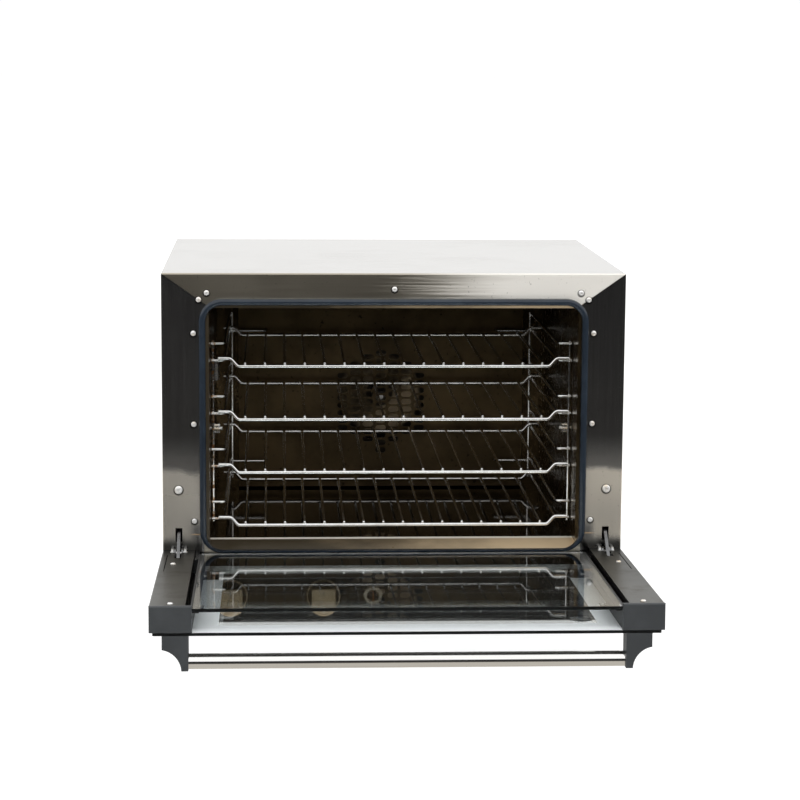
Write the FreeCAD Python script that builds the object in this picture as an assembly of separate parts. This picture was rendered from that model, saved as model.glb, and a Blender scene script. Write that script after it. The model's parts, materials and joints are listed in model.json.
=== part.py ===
import FreeCAD
import Part
import math
import os

# Countertop convection oven with a drop-down glass door, four wire shelves,
# a perforated fan guard and a control panel below the door.
# Lengths are in millimetres. Pieces are drawn with y counted backwards from
# the front plane of the cabinet and z counted up from the table top.

os.makedirs("parts", exist_ok=True)
V = FreeCAD.Vector

# Cabinet
WIDTH = 600.0
DEPTH = 508.0
HEIGHT = 472.0
FOOT_HEIGHT = 10.0
SHEET = 1.2
BEND_RADIUS = 2.0
FIT = 0.2

# Levels on the front: control panel, door hinge line
DOOR_LEVEL = 110.0
PANEL_DROP = 14.0
PANEL_SEAM = 1.0
PANEL_RETURN = 14.0

# Oven chamber
SIDE_SPACE = 61.0
HEAD_SPACE = 45.0
REAR_SPACE = 68.0
FLOOR_RISE = 8.0
SILL_RUN = 38.0
SILL_FALL = 8.0
SILL_FLANGE = 9.0
LINER_FLANGE = 13.0

# Gasket round the mouth of the chamber
GASKET_LIP = 4.0
GASKET_SILL_DROP = 3.4
GASKET_WIDTH = 8.6
GASKET_PLAY = 0.4
GASKET_RADIUS = 30.0
GASKET_ROUND = 4.0
FRAME_LIP = 7.0
FRAME_SILL_LIP = 1.0
FRAME_RADIUS = 24.0
DRAIN_RADIUS = 1.6
DRAIN_Y = 6.0
MITRE_GAP = 0.5

# Fan guard, wheel, motor and heating elements
FAN_SPACE = 60.0
GUARD_RACK_GAP = 9.6
GUARD_EDGE_GAP = 3.0
FAN_RISE = 133.5
SLOT_LENGTH = 15.0
SLOT_HEIGHT = 8.0
SLOT_COLUMN_PITCH = 18.6
SLOT_ROW_PITCH = 11.0
SLOT_ROW_COUNTS = (14, 12, 10, 8)
SLOT_HALF_ROW_COUNTS = (-1, 0, 0, -1)
FAN_RADIUS = 85.0
FAN_EYE_RADIUS = 64.0
FAN_BLADES = 20
FAN_WIDTH = 38.0
FAN_GUARD_GAP = 12.0
BLADE_SET = 28.0
SHAFT_RADIUS = 4.0
HUB_RADIUS = 13.0
HEATER_RADIUS = 108.0
HEATER_TUBE_RADIUS = 4.0
HEATER_BEND = 12.0
HEATER_PITCH = 18.0
MOTOR_RADIUS = 42.0
MOTOR_LENGTH = 46.0

# Wire shelves
SHELF_COUNT = 4
SHELF_SIDE_GAP = 9.0
SHELF_SHIFT = 2.0
SHELF_FRONT = 37.2
SHELF_BACK_GAP = 4.8
TOP_SHELF_DROP = 81.0
LOW_SHELF_RISE = 16.5
RAIL_RADIUS = 2.5
CROSS_RADIUS = 1.8
CROSS_BEAD = 2.1
CROSS_COUNT = 16
CROSS_MARGIN = 9.6
WELD = 0.6
SHELF_SHOULDER = 16.0
DROP_HEIGHT = 10.5
DROP_RUN = 9.4
DROP_BEND = 6.0

# Side racks
RACK_RADIUS = 2.0
RACK_FRONT = 56.0
RACK_WALL_GAP = 1.4
RAIL_BEARING = 10.5
RACK_GUARD_GAP = 8.0
RACK_RAIL_GAP = 22.5
RACK_PLAY = 0.3
RACK_BEND = 6.0
HOOK_REACH = 49.0
HOOK_DROP = 75.7
HOOK_RISE = 42.3
NUT_RISE = 19.75
NUT_RADIUS = 6.5
NUT_LENGTH = 7.0

# Temperature probe
PROBE_RADIUS = 5.0
PROBE_LENGTH = 25.0
PROBE_DROP = 91.4
PROBE_Y = 74.0
PROBE_ROWS = 5
PROBE_HOLE = 1.3

# Door, drawn level and then raised to its rest angle
OPEN_RISE = 2.2
DOOR_REACH = 363.0
DOOR_THICKNESS = 35.0
DOOR_GAP = 6.0
HINGE_END_GAP = 1.0
PIVOT_DROP = 2.5
OUTER_GLASS = 3.5
OUTER_GLASS_INSET = 4.0
INNER_GLASS = 4.0
INNER_GLASS_SINK = 3.7
INNER_GLASS_SETBACK = 6.0
GLASS_SIDE_GAP = 8.0
INNER_GLASS_BACK = 3.0
PROFILE_WIDTH = 42.0
SLIT_INSET = 7.5
SLIT_WIDTH = 1.2
SLIT_BACK = 36.0
SLIT_FRONT = 145.0
GLASS_PLAY = 0.3
GLASS_RAIL = 2.0
GLASS_LEDGE = 8.0
CAP_WIDTH = 50.0
CAP_PLATE = 5.0
CAP_PLUG = 13.0
CAP_ROUND = 2.0

# Handle
BAR_RADIUS = 9.0
BRACKET_INSET = 15.0
BRACKET_WIDTH = 30.5
BRACKET_DROP = 41.6
BRACKET_DEPTH = 26.0
BRACKET_STRAIGHT = 16.5
BRACKET_TIP = 8.0
BAR_SOCKET = 4.0
HOLLOW = 0.68

# Hinges
HINGE_INSET = 21.0
PIN_RADIUS = 2.5
PIN_PLAY = 0.15
EAR_RADIUS = 6.0
EAR_THICK = 3.0
CHEEK_THICK = 2.5
CHEEK_GAP = 7.0
EAR_GAP = 0.8
ARM_THICK = 4.0
ARM_HALF = 4.0
ARM_REACH = 30.0
ARM_DROP = 9.5
ARM_LENGTH = 92.0
ARM_REST_ANGLE = 36.7
ARM_SLOT_RISE = 11.0
ARM_SLOT_HEIGHT = 18.0
RIVET_RADIUS = 2.5
BRACKET_RISE = 90.0
BRACKET_LENGTH = 112.0

# Controls
CONTROL_RISE = 31.1
TIMER_X = -212.0
THERMOSTAT_X = -91.0
LAMP_X = -26.0
KNOB_RADIUS = 22.0
KNOB_SKIRT = 6.0
KNOB_HEIGHT = 23.0
KNOB_GRIP = 31.0
KNOB_FLAT = 13.5
KNOB_GAP = 1.0
SPINDLE_RADIUS = 3.0
SPINDLE_HOLE = 3.5
LAMP_RADIUS = 12.4
LAMP_BODY_RADIUS = 7.8

# Back of the cabinet
VENT_X = 150.0
VENT_RADIUS = 14.0
VENT_DROP = 32.0
VENT_WALL = 1.2
VENT_STICKOUT = 14.0
SPIGOT_RADIUS = 13.4
SPIGOT_LENGTH = 13.0
GLAND_X = -200.0
GLAND_LEVEL = 62.0
CABLE_RADIUS = 4.5

# Feet
FOOT_INSET = 45.0
FOOT_FRONT_Y = 48.0
FOOT_BACK_INSET = 50.0
FOOT_RADIUS = 19.0

# Screws
SCREW_RADIUS = 3.4
SCREW_HEAD = 2.0
BIG_SCREW_RADIUS = 5.2
BIG_SCREW_HEAD = 3.0
BIG_SCREW_RISE = 79.7
FRAME_SCREW_EDGE = 12.7
CORNER_SCREWS = [(-4.5, 12.8), (5.7, 4.0)]
HIGH_SCREW_DROP = 39.6
LOW_SCREW_RISE = 30.2
MID_SCREW_RISE = 3.5
TOP_SCREW_RISE = 17.5
DOOR_SCREW_INSETS = [17.5, 24.6]
DOOR_SCREW_BACK = 100.0
DOOR_SCREW_FRONT = 13.0
RAIL_SCREW_BACK = 44.0
RAIL_SCREW_FRONT = 127.0
RAIL_TAB = 8.0

# Insulation blankets
BLANKET_FRONT = 20.0
BLANKET_TOP = 26.0
BLANKET_FLOOR = 16.0
BLANKET_HINGE_GAP = 7.0

# Derived levels
HALF = WIDTH / 2.0
PANEL_LOW = FOOT_HEIGHT + SHEET + FIT
PANEL_TOP = DOOR_LEVEL - PANEL_DROP
FRAME_LOW = PANEL_TOP + PANEL_SEAM
CONTROL_LEVEL = PANEL_LOW + CONTROL_RISE
CHAMBER_HALF = HALF - SIDE_SPACE
CHAMBER_FLOOR = DOOR_LEVEL + FLOOR_RISE
CHAMBER_CEILING = HEIGHT - HEAD_SPACE
CHAMBER_BACK = DEPTH - REAR_SPACE
MOUTH_LOW = CHAMBER_FLOOR - SILL_FALL
FRAME_HALF = CHAMBER_HALF + FRAME_LIP
FRAME_Z0 = MOUTH_LOW - FRAME_SILL_LIP
FRAME_Z1 = CHAMBER_CEILING + FRAME_LIP
PIVOT_Y = -DOOR_GAP - PIVOT_DROP
PIVOT_Z = DOOR_LEVEL - PIVOT_DROP
DOOR_LOW = DOOR_LEVEL - DOOR_THICKNESS
GLASS_TOP = DOOR_LOW + OUTER_GLASS
INNER_TOP = DOOR_LEVEL - INNER_GLASS_SINK
GASKET_HEIGHT = DOOR_GAP + INNER_GLASS_SINK - GASKET_PLAY
INNER_LOW = INNER_TOP - INNER_GLASS
PROFILE_INNER_X = HALF - PROFILE_WIDTH
INNER_GLASS_HALF = PROFILE_INNER_X - GLASS_SIDE_GAP
CAP_INNER_X = HALF - CAP_WIDTH
BRACKET_INNER_X = HALF - BRACKET_INSET - BRACKET_WIDTH
HINGE_X = HALF - HINGE_INSET
ARM_SLOT_LOW = DOOR_LEVEL + ARM_SLOT_RISE
ARM_SLOT_HIGH = ARM_SLOT_LOW + ARM_SLOT_HEIGHT
BRACKET_TOP = DOOR_LEVEL + BRACKET_RISE
BIG_SCREW_LEVEL = DOOR_LEVEL + BIG_SCREW_RISE
FOOT_X = HALF - FOOT_INSET
FOOT_BACK_Y = DEPTH - FOOT_BACK_INSET

# Derived places inside the chamber
GUARD_FRONT = CHAMBER_BACK - FAN_SPACE
FAN_CENTRE_Z = CHAMBER_FLOOR + FAN_RISE
VENT_LEVEL = CHAMBER_CEILING - VENT_DROP
PROBE_LEVEL = CHAMBER_CEILING - PROBE_DROP
HOOK_LEVELS = [CHAMBER_CEILING - HOOK_DROP, CHAMBER_FLOOR + HOOK_RISE]
top_shelf = CHAMBER_CEILING - TOP_SHELF_DROP
low_shelf = CHAMBER_FLOOR + LOW_SHELF_RISE
SHELF_PITCH = (top_shelf - low_shelf) / (SHELF_COUNT - 1)
SHELF_LEVELS = [top_shelf - number * SHELF_PITCH for number in range(SHELF_COUNT)]
NUT_LEVEL = (top_shelf + low_shelf) / 2.0 + NUT_RISE
RAIL_END = CHAMBER_HALF - SHELF_SIDE_GAP
DROP_HALF_SPAN = RAIL_END - SHELF_SHOULDER - DROP_RUN
CROSS_PITCH = 2 * (DROP_HALF_SPAN - CROSS_MARGIN) / (CROSS_COUNT - 1)
RACK_RAIL_X = RAIL_END - RAIL_BEARING
RACK_FRONT_X = CHAMBER_HALF - RACK_WALL_GAP
RACK_REAR_X = RACK_RAIL_X - 2 * RACK_RADIUS + WELD
RACK_REAR = GUARD_FRONT - RACK_GUARD_GAP
SHELF_DEPTH = RACK_REAR - SHELF_BACK_GAP - SHELF_FRONT
HOOK_X = RACK_REAR_X - HOOK_REACH


# Shape helpers
def box(x0, x1, y0, y1, z0, z1):
    """Block between two opposite corners."""
    return Part.makeBox(x1 - x0, y1 - y0, z1 - z0, V(x0, y0, z0))


def rod(start, end, radius):
    """Straight round bar between two points."""
    axis = end.sub(start)
    return Part.makeCylinder(radius, axis.Length, start, axis)


def prism_y(points, y0, y1):
    """Outline given as (x, z) pairs, drawn out along y."""
    wire = Part.makePolygon([V(x, y0, z) for x, z in points + points[:1]])
    return Part.Face(wire).extrude(V(0, y1 - y0, 0))


def prism_x(points, x0, x1):
    """Outline given as (y, z) pairs, drawn out along x."""
    wire = Part.makePolygon([V(x0, y, z) for y, z in points + points[:1]])
    return Part.Face(wire).extrude(V(x1 - x0, 0, 0))


def rounded_plate(x0, x1, z0, z1, radius, y0, y1):
    """Upright plate with rounded corners, thick along y."""
    plate = box(x0, x1, y0, y1, z0, z1)
    corners = [e for e in plate.Edges if abs(e.tangentAt(e.FirstParameter).y) > 0.99]
    return plate.makeFillet(radius, corners)


def stadium(x, z, length, height, y0, y1):
    """Slot cutter with round ends, lying along x."""
    radius = height / 2.0
    reach = length / 2.0 - radius
    body = box(x - reach, x + reach, y0, y1, z - radius, z + radius)
    left = rod(V(x - reach, y0, z), V(x - reach, y1, z), radius)
    right = rod(V(x + reach, y0, z), V(x + reach, y1, z), radius)
    return body.fuse([left, right]).removeSplitter()


def bent_rod(points, radius, bend):
    """Round wire through the points: straight bars joined by torus bends."""
    pieces = []
    start = points[0]
    for here, after in zip(points[1:-1], points[2:]):
        way_in = here.sub(start)
        way_in.normalize()
        way_out = after.sub(here)
        way_out.normalize()
        angle = way_in.getAngle(way_out)
        cut_back = bend * math.tan(angle / 2.0)
        enter = here.sub(V(way_in).multiply(cut_back))
        pieces.append(rod(start, enter, radius))
        normal = way_in.cross(way_out)
        normal.normalize()
        centre = enter.add(normal.cross(way_in).multiply(bend))
        disc = Part.Face(Part.Wire(Part.makeCircle(radius, enter, way_in)))
        pieces.append(disc.revolve(centre, normal, math.degrees(angle)))
        start = here.add(V(way_out).multiply(cut_back))
    pieces.append(rod(start, points[-1], radius))
    return pieces[0].fuse(pieces[1:]).removeSplitter()


def turned(profile, centre, axis):
    """Solid of revolution: profile is (radius, height) pairs along the axis."""
    wire = Part.makePolygon([V(r, 0, h) for r, h in profile + profile[:1]])
    solid = Part.Face(wire).revolve(V(0, 0, 0), V(0, 0, 1), 360)
    solid.Placement = FreeCAD.Placement(centre, FreeCAD.Rotation(V(0, 0, 1), axis))
    return solid


def screw(x, y, z, radius, head, axis):
    """Low domed screw head standing on a face, with a driver hole."""
    profile = [
        (radius * 0.34, 0.0),
        (radius, 0.0),
        (radius, head * 0.45),
        (radius * 0.74, head * 0.86),
        (radius * 0.34, head),
    ]
    plug = [
        (0.0, 0.0),
        (radius * 0.34, 0.0),
        (radius * 0.34, head * 0.4),
        (0.0, head * 0.4),
    ]
    ring = turned(profile, V(x, y, z), axis)
    return ring.fuse(turned(plug, V(x, y, z), axis)).removeSplitter()


def other_side(shape):
    """Mirror image on the right-hand side of the oven."""
    return shape.mirror(V(0, 0, 0), V(1, 0, 0))


def both_sides(shape):
    """The piece and its mirror image as one group."""
    return Part.makeCompound([shape, other_side(shape)])


def raised(shape):
    """Turn a door piece from level to its rest angle about the pivot line."""
    lifted = shape.copy()
    lifted.rotate(V(0, PIVOT_Y, PIVOT_Z), V(-1, 0, 0), OPEN_RISE)
    return lifted


def edges_where(shape, test):
    """Edges whose middle point passes the test."""
    found = []
    for edge in shape.Edges:
        middle = edge.valueAt((edge.FirstParameter + edge.LastParameter) / 2.0)
        if test(middle, edge):
            found.append(edge)
    return found


nodes = {}

# Outer casing: one sheet wrapped over the top and sides, with front flanges
wrap = box(-HALF, HALF, 0, DEPTH, FOOT_HEIGHT, HEIGHT)
bends = edges_where(
    wrap,
    lambda m, e: (m.z > HEIGHT - 1 and (m.y < 1 or abs(m.x) > HALF - 1))
    or (m.y < 1 and abs(m.x) > HALF - 1),
)
wrap = wrap.makeFillet(BEND_RADIUS, bends)
wrap = wrap.cut(box(-HALF + SHEET, HALF - SHEET, SHEET, DEPTH + 1, 0, HEIGHT - SHEET))
wrap = wrap.cut(box(-HALF + SHEET, HALF - SHEET, -1, SHEET + 1, 0, FRAME_LOW))
frame_opening = rounded_plate(
    -FRAME_HALF, FRAME_HALF, FRAME_Z0, FRAME_Z1, FRAME_RADIUS, -1, SHEET + 1
)
wrap = wrap.cut(frame_opening)
wrap = wrap.cut(
    box(-FRAME_HALF, FRAME_HALF, -1, SHEET + 1, FRAME_LOW - 1, FRAME_Z0 + FRAME_RADIUS)
)
mitre_start = V(HALF - SHEET, 0, HEIGHT - SHEET)
mitre_way = V(FRAME_HALF - HALF, 0, FRAME_Z1 - HEIGHT)
mitre_way.normalize()
mitre_side = V(-mitre_way.z, 0, mitre_way.x).multiply(MITRE_GAP / 2.0)
mitre_end = mitre_start.add(V(mitre_way).multiply(90.0))
mitre = prism_y(
    [
        (mitre_start.x + mitre_side.x, mitre_start.z + mitre_side.z),
        (mitre_start.x - mitre_side.x, mitre_start.z - mitre_side.z),
        (mitre_end.x - mitre_side.x, mitre_end.z - mitre_side.z),
        (mitre_end.x + mitre_side.x, mitre_end.z + mitre_side.z),
    ],
    -1,
    SHEET,
)
cheek_in = CHEEK_GAP / 2.0
cheek_out = cheek_in + CHEEK_THICK
ear_in = cheek_out + EAR_GAP
ear_out = ear_in + EAR_THICK
slots = [mitre]
for inner, outer in ((ear_in, ear_out), (-ear_out, -ear_in)):
    slots.append(
        box(
            HINGE_X + inner - 0.4,
            HINGE_X + outer + 0.4,
            -1,
            SHEET + 1,
            PIVOT_Z - EAR_RADIUS - 0.4,
            PIVOT_Z + EAR_RADIUS + 0.4,
        )
    )
slots.append(
    box(HINGE_X - 4.5, HINGE_X + 4.5, -1, SHEET + 1, ARM_SLOT_LOW, ARM_SLOT_HIGH)
)
for slot in slots:
    wrap = wrap.cut(slot)
    wrap = wrap.cut(other_side(slot))
nodes["outer_casing"] = wrap

# Lower front rail: closes the front frame under the chamber mouth
lower_rail = box(
    -FRAME_HALF, FRAME_HALF, 0, SHEET, FRAME_LOW, FRAME_Z0 + FRAME_RADIUS
).cut(frame_opening)
lower_rail = lower_rail.fuse(
    box(-FRAME_HALF, FRAME_HALF, 0, PANEL_RETURN, FRAME_LOW, FRAME_LOW + SHEET)
).removeSplitter()
nodes["lower_front_rail"] = lower_rail

# Base pan
base_edge = HALF - SHEET - FIT
base = box(-base_edge, base_edge, FIT, DEPTH - 1.0, FOOT_HEIGHT, FOOT_HEIGHT + SHEET)
for side in (-1, 1):
    low, high = sorted((side * base_edge, side * (base_edge - SHEET)))
    base = base.fuse(box(low, high, 16.0, DEPTH - 17.0, FOOT_HEIGHT, FOOT_HEIGHT + 15.0))
base = base.removeSplitter()
for row in range(6):
    for side in (-1, 1):
        middle = side * 110.0
        y = 170.0 + row * 30.0
        base = base.cut(
            box(middle - 45.0, middle + 45.0, y, y + 6.0, FOOT_HEIGHT - 1, FOOT_HEIGHT + 3)
        )
nodes["base_pan"] = base

# Control panel with returns along its top and bottom edges
panel = box(-base_edge, base_edge, 0, SHEET, PANEL_LOW, PANEL_TOP)
for level in (PANEL_LOW, PANEL_TOP - SHEET):
    panel = panel.fuse(
        box(-base_edge, base_edge, 0, PANEL_RETURN, level, level + SHEET)
    )
panel = panel.removeSplitter()
for x in (TIMER_X, THERMOSTAT_X):
    panel = panel.cut(
        rod(V(x, -1, CONTROL_LEVEL), V(x, SHEET + 1, CONTROL_LEVEL), SPINDLE_HOLE + 1.5)
    )
panel = panel.cut(
    rod(V(LAMP_X, -1, CONTROL_LEVEL), V(LAMP_X, SHEET + 1, CONTROL_LEVEL), LAMP_BODY_RADIUS)
)
nodes["control_panel"] = panel

# Back cover: shallow tray with vent slots
cover_y = DEPTH - 1.0
cover_z0 = FOOT_HEIGHT + SHEET + FIT
cover_z1 = HEIGHT - SHEET - FIT
cover = box(-base_edge, base_edge, cover_y - 13.0, cover_y, cover_z0, cover_z1)
cover = cover.cut(
    box(
        -base_edge + SHEET,
        base_edge - SHEET,
        cover_y - 14.0,
        cover_y - SHEET,
        cover_z0 + SHEET,
        cover_z1 - SHEET,
    )
)
for row in range(8):
    for side in (-1, 1):
        z = 190.0 + row * 16.0
        cover = cover.cut(stadium(side * 70.0, z, 90.0, 5.0, cover_y - 3, cover_y + 1))
vent_hole = rod(V(VENT_X, cover_y - 3, VENT_LEVEL), V(VENT_X, cover_y + 1, VENT_LEVEL), VENT_RADIUS)
gland_hole = rod(
    V(GLAND_X, cover_y - 3, GLAND_LEVEL), V(GLAND_X, cover_y + 1, GLAND_LEVEL), 8.0
)
cover = cover.cut(vent_hole).cut(gland_hole)
nodes["back_cover"] = cover
cover_screws = []
for x in (-HALF + 18.0, 0.0, HALF - 18.0):
    for z in (FOOT_HEIGHT + 18.0, HEIGHT - 18.0):
        cover_screws.append(screw(x, cover_y, z, SCREW_RADIUS, SCREW_HEAD, V(0, 1, 0)))
nodes["back_cover_screws"] = Part.makeCompound(cover_screws)

# Chamber liner: floor, walls and ceiling with a sill falling to the front flange
liner_half = CHAMBER_HALF + SHEET
liner_z0 = CHAMBER_FLOOR - SHEET
liner_z1 = CHAMBER_CEILING + SHEET
liner = box(-liner_half, liner_half, SHEET, CHAMBER_BACK, liner_z0, liner_z1)
liner = liner.cut(
    box(
        -CHAMBER_HALF,
        CHAMBER_HALF,
        2 * SHEET,
        CHAMBER_BACK + 1,
        CHAMBER_FLOOR,
        CHAMBER_CEILING,
    )
)
flange = rounded_plate(
    -CHAMBER_HALF - LINER_FLANGE,
    CHAMBER_HALF + LINER_FLANGE,
    MOUTH_LOW - SILL_FLANGE,
    CHAMBER_CEILING + LINER_FLANGE,
    FRAME_RADIUS,
    SHEET,
    2 * SHEET,
)
liner = liner.cut(
    box(-CHAMBER_HALF, CHAMBER_HALF, 0, SILL_RUN, liner_z0 - 1, CHAMBER_FLOOR + 1)
)
sill = prism_x(
    [
        (SHEET, MOUTH_LOW - SHEET),
        (SHEET, MOUTH_LOW),
        (SILL_RUN, CHAMBER_FLOOR),
        (SILL_RUN, CHAMBER_FLOOR - SHEET),
    ],
    -liner_half,
    liner_half,
)
sill_cheek = prism_x(
    [
        (SHEET, MOUTH_LOW - SHEET),
        (SHEET, CHAMBER_FLOOR),
        (SILL_RUN, CHAMBER_FLOOR),
        (SILL_RUN, CHAMBER_FLOOR - SHEET),
    ],
    CHAMBER_HALF,
    liner_half,
)
liner = liner.fuse([flange, sill, sill_cheek, other_side(sill_cheek)]).removeSplitter()
mouth = prism_x(
    [
        (0, MOUTH_LOW),
        (SHEET, MOUTH_LOW),
        (SILL_RUN, CHAMBER_FLOOR),
        (SILL_RUN, CHAMBER_CEILING),
        (0, CHAMBER_CEILING),
    ],
    -CHAMBER_HALF,
    CHAMBER_HALF,
)
liner = liner.cut(mouth)
liner = liner.cut(rod(V(0, DRAIN_Y, liner_z0 - 20), V(0, DRAIN_Y, CHAMBER_FLOOR), DRAIN_RADIUS))
nodes["chamber_liner"] = liner

# Chamber back plate
back_plate = box(
    -liner_half, liner_half, CHAMBER_BACK, CHAMBER_BACK + SHEET, liner_z0, liner_z1
)
back_plate = back_plate.cut(
    rod(
        V(0, CHAMBER_BACK - 1, FAN_CENTRE_Z),
        V(0, CHAMBER_BACK + 3, FAN_CENTRE_Z),
        SHAFT_RADIUS + 1.0,
    )
)
back_plate = back_plate.cut(
    rod(V(VENT_X, CHAMBER_BACK - 1, VENT_LEVEL), V(VENT_X, CHAMBER_BACK + 3, VENT_LEVEL), VENT_RADIUS)
)

# Door gasket
gasket_in_half = CHAMBER_HALF + GASKET_LIP
gasket_half = gasket_in_half + GASKET_WIDTH
gasket_z0 = MOUTH_LOW - GASKET_SILL_DROP + GASKET_WIDTH
gasket_z1 = CHAMBER_CEILING + GASKET_LIP
gasket = rounded_plate(
    -gasket_half,
    gasket_half,
    gasket_z0 - GASKET_WIDTH,
    gasket_z1 + GASKET_WIDTH,
    GASKET_RADIUS,
    -GASKET_HEIGHT,
    0,
)
gasket = gasket.cut(
    rounded_plate(
        -gasket_in_half,
        gasket_in_half,
        gasket_z0,
        gasket_z1,
        GASKET_RADIUS - GASKET_WIDTH,
        -GASKET_HEIGHT - 1,
        1,
    )
)
gasket = gasket.makeFillet(
    GASKET_ROUND, edges_where(gasket, lambda m, e: m.y < -GASKET_HEIGHT + 0.1)
)
sill_relief = rounded_plate(
    -gasket_in_half,
    gasket_in_half,
    MOUTH_LOW,
    gasket_z1,
    GASKET_RADIUS - GASKET_WIDTH,
    -GASKET_HEIGHT - 1,
    1,
)
gasket = gasket.cut(sill_relief)
nodes["door_gasket"] = gasket

# Fan guard: perforated plate with a top and bottom flange reaching the back
guard_half = RACK_REAR_X - GUARD_RACK_GAP
guard_z0 = CHAMBER_FLOOR + GUARD_EDGE_GAP
guard_z1 = CHAMBER_CEILING - GUARD_EDGE_GAP
guard = box(-guard_half, guard_half, GUARD_FRONT, CHAMBER_BACK, guard_z0, guard_z1)
guard = guard.cut(
    box(
        -guard_half - 1,
        guard_half + 1,
        GUARD_FRONT + SHEET,
        CHAMBER_BACK + 1,
        guard_z0 + SHEET,
        guard_z1 - SHEET,
    )
)
guard_cuts = []
for column, count in enumerate(SLOT_ROW_COUNTS):
    for row in range(count):
        place = row - (count - 1) / 2.0 + SLOT_HALF_ROW_COUNTS[column] / 2.0
        z = FAN_CENTRE_Z + place * SLOT_ROW_PITCH
        for side in sorted({-column, column}):
            guard_cuts.append(
                stadium(
                    side * SLOT_COLUMN_PITCH,
                    z,
                    SLOT_LENGTH,
                    SLOT_HEIGHT,
                    GUARD_FRONT - 1,
                    GUARD_FRONT + SHEET + 1,
                )
            )
for level in HOOK_LEVELS:
    for side in (-1, 1):
        hole_x = side * HOOK_X
        guard_cuts.append(
            rod(
                V(hole_x, GUARD_FRONT - 1, level),
                V(hole_x, GUARD_FRONT + SHEET + 1, level),
                RACK_RADIUS + 0.4,
            )
        )
guard = guard.cut(Part.makeCompound(guard_cuts))
nodes["fan_guard"] = guard

# Fan wheel: back disc, hub, blades and front ring
fan_front = GUARD_FRONT + FAN_GUARD_GAP
fan_back = fan_front + FAN_WIDTH
fan_axis = V(0, 1, 0)
disc = rod(V(0, fan_back - SHEET, FAN_CENTRE_Z), V(0, fan_back, FAN_CENTRE_Z), FAN_RADIUS)
ring = rod(V(0, fan_front, FAN_CENTRE_Z), V(0, fan_front + SHEET, FAN_CENTRE_Z), FAN_RADIUS)
ring = ring.cut(
    rod(
        V(0, fan_front - 1, FAN_CENTRE_Z), V(0, fan_front + 3, FAN_CENTRE_Z), FAN_EYE_RADIUS
    )
)
hub = rod(V(0, fan_front + 8, FAN_CENTRE_Z), V(0, fan_back, FAN_CENTRE_Z), HUB_RADIUS)
blade_mid = (FAN_RADIUS + FAN_EYE_RADIUS) / 2.0
blade_long = (FAN_RADIUS - FAN_EYE_RADIUS) * 0.94
blades = []
for number in range(FAN_BLADES):
    blade = box(
        -SHEET / 2,
        SHEET / 2,
        fan_front + SHEET / 2,
        fan_back - SHEET / 2,
        -blade_long / 2,
        blade_long / 2,
    )
    blade.rotate(V(0, 0, 0), fan_axis, BLADE_SET)
    blade.translate(V(0, 0, FAN_CENTRE_Z + blade_mid))
    blade.rotate(V(0, 0, FAN_CENTRE_Z), fan_axis, number * 360.0 / FAN_BLADES)
    blades.append(blade)
wheel = disc.fuse([ring, hub] + blades).removeSplitter()
wheel = wheel.cut(
    rod(V(0, fan_front, FAN_CENTRE_Z), V(0, fan_back + 1, FAN_CENTRE_Z), SHAFT_RADIUS)
)
nodes["fan_wheel"] = wheel
shaft_front = fan_front - 2.0
motor_front = CHAMBER_BACK + SHEET + 5.0
nodes["fan_shaft"] = rod(
    V(0, shaft_front, FAN_CENTRE_Z), V(0, motor_front + 18.0, FAN_CENTRE_Z), SHAFT_RADIUS
)
nut_points = []
for corner in range(6):
    turn = math.radians(60.0 * corner)
    nut_points.append((8.0 * math.cos(turn), FAN_CENTRE_Z + 8.0 * math.sin(turn)))
fan_nut = prism_y(nut_points, fan_front + 1.0, fan_front + 8.0)
fan_nut = fan_nut.cut(
    rod(V(0, fan_front, FAN_CENTRE_Z), V(0, fan_front + 9, FAN_CENTRE_Z), SHAFT_RADIUS)
)
nodes["fan_nut"] = fan_nut

# Motor and its mounting plate behind the chamber
mount_plate = box(
    -60.0,
    60.0,
    CHAMBER_BACK + SHEET,
    motor_front,
    FAN_CENTRE_Z - 60.0,
    FAN_CENTRE_Z + 60.0,
)
shaft_way = rod(
    V(0, CHAMBER_BACK, FAN_CENTRE_Z), V(0, motor_front + 19.0, FAN_CENTRE_Z), SHAFT_RADIUS + 0.5
)
nodes["motor_mounting_plate"] = mount_plate.cut(shaft_way)
motor = rod(
    V(0, motor_front, FAN_CENTRE_Z),
    V(0, motor_front + MOTOR_LENGTH, FAN_CENTRE_Z),
    MOTOR_RADIUS,
)
motor = motor.makeFillet(4.0, edges_where(motor, lambda m, e: m.y > motor_front + 1))
motor = motor.fuse(
    box(
        -46.0, 46.0, motor_front, motor_front + 3.0, FAN_CENTRE_Z - 46.0, FAN_CENTRE_Z + 46.0
    )
).removeSplitter()
nodes["fan_motor"] = motor.cut(shaft_way)

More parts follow.
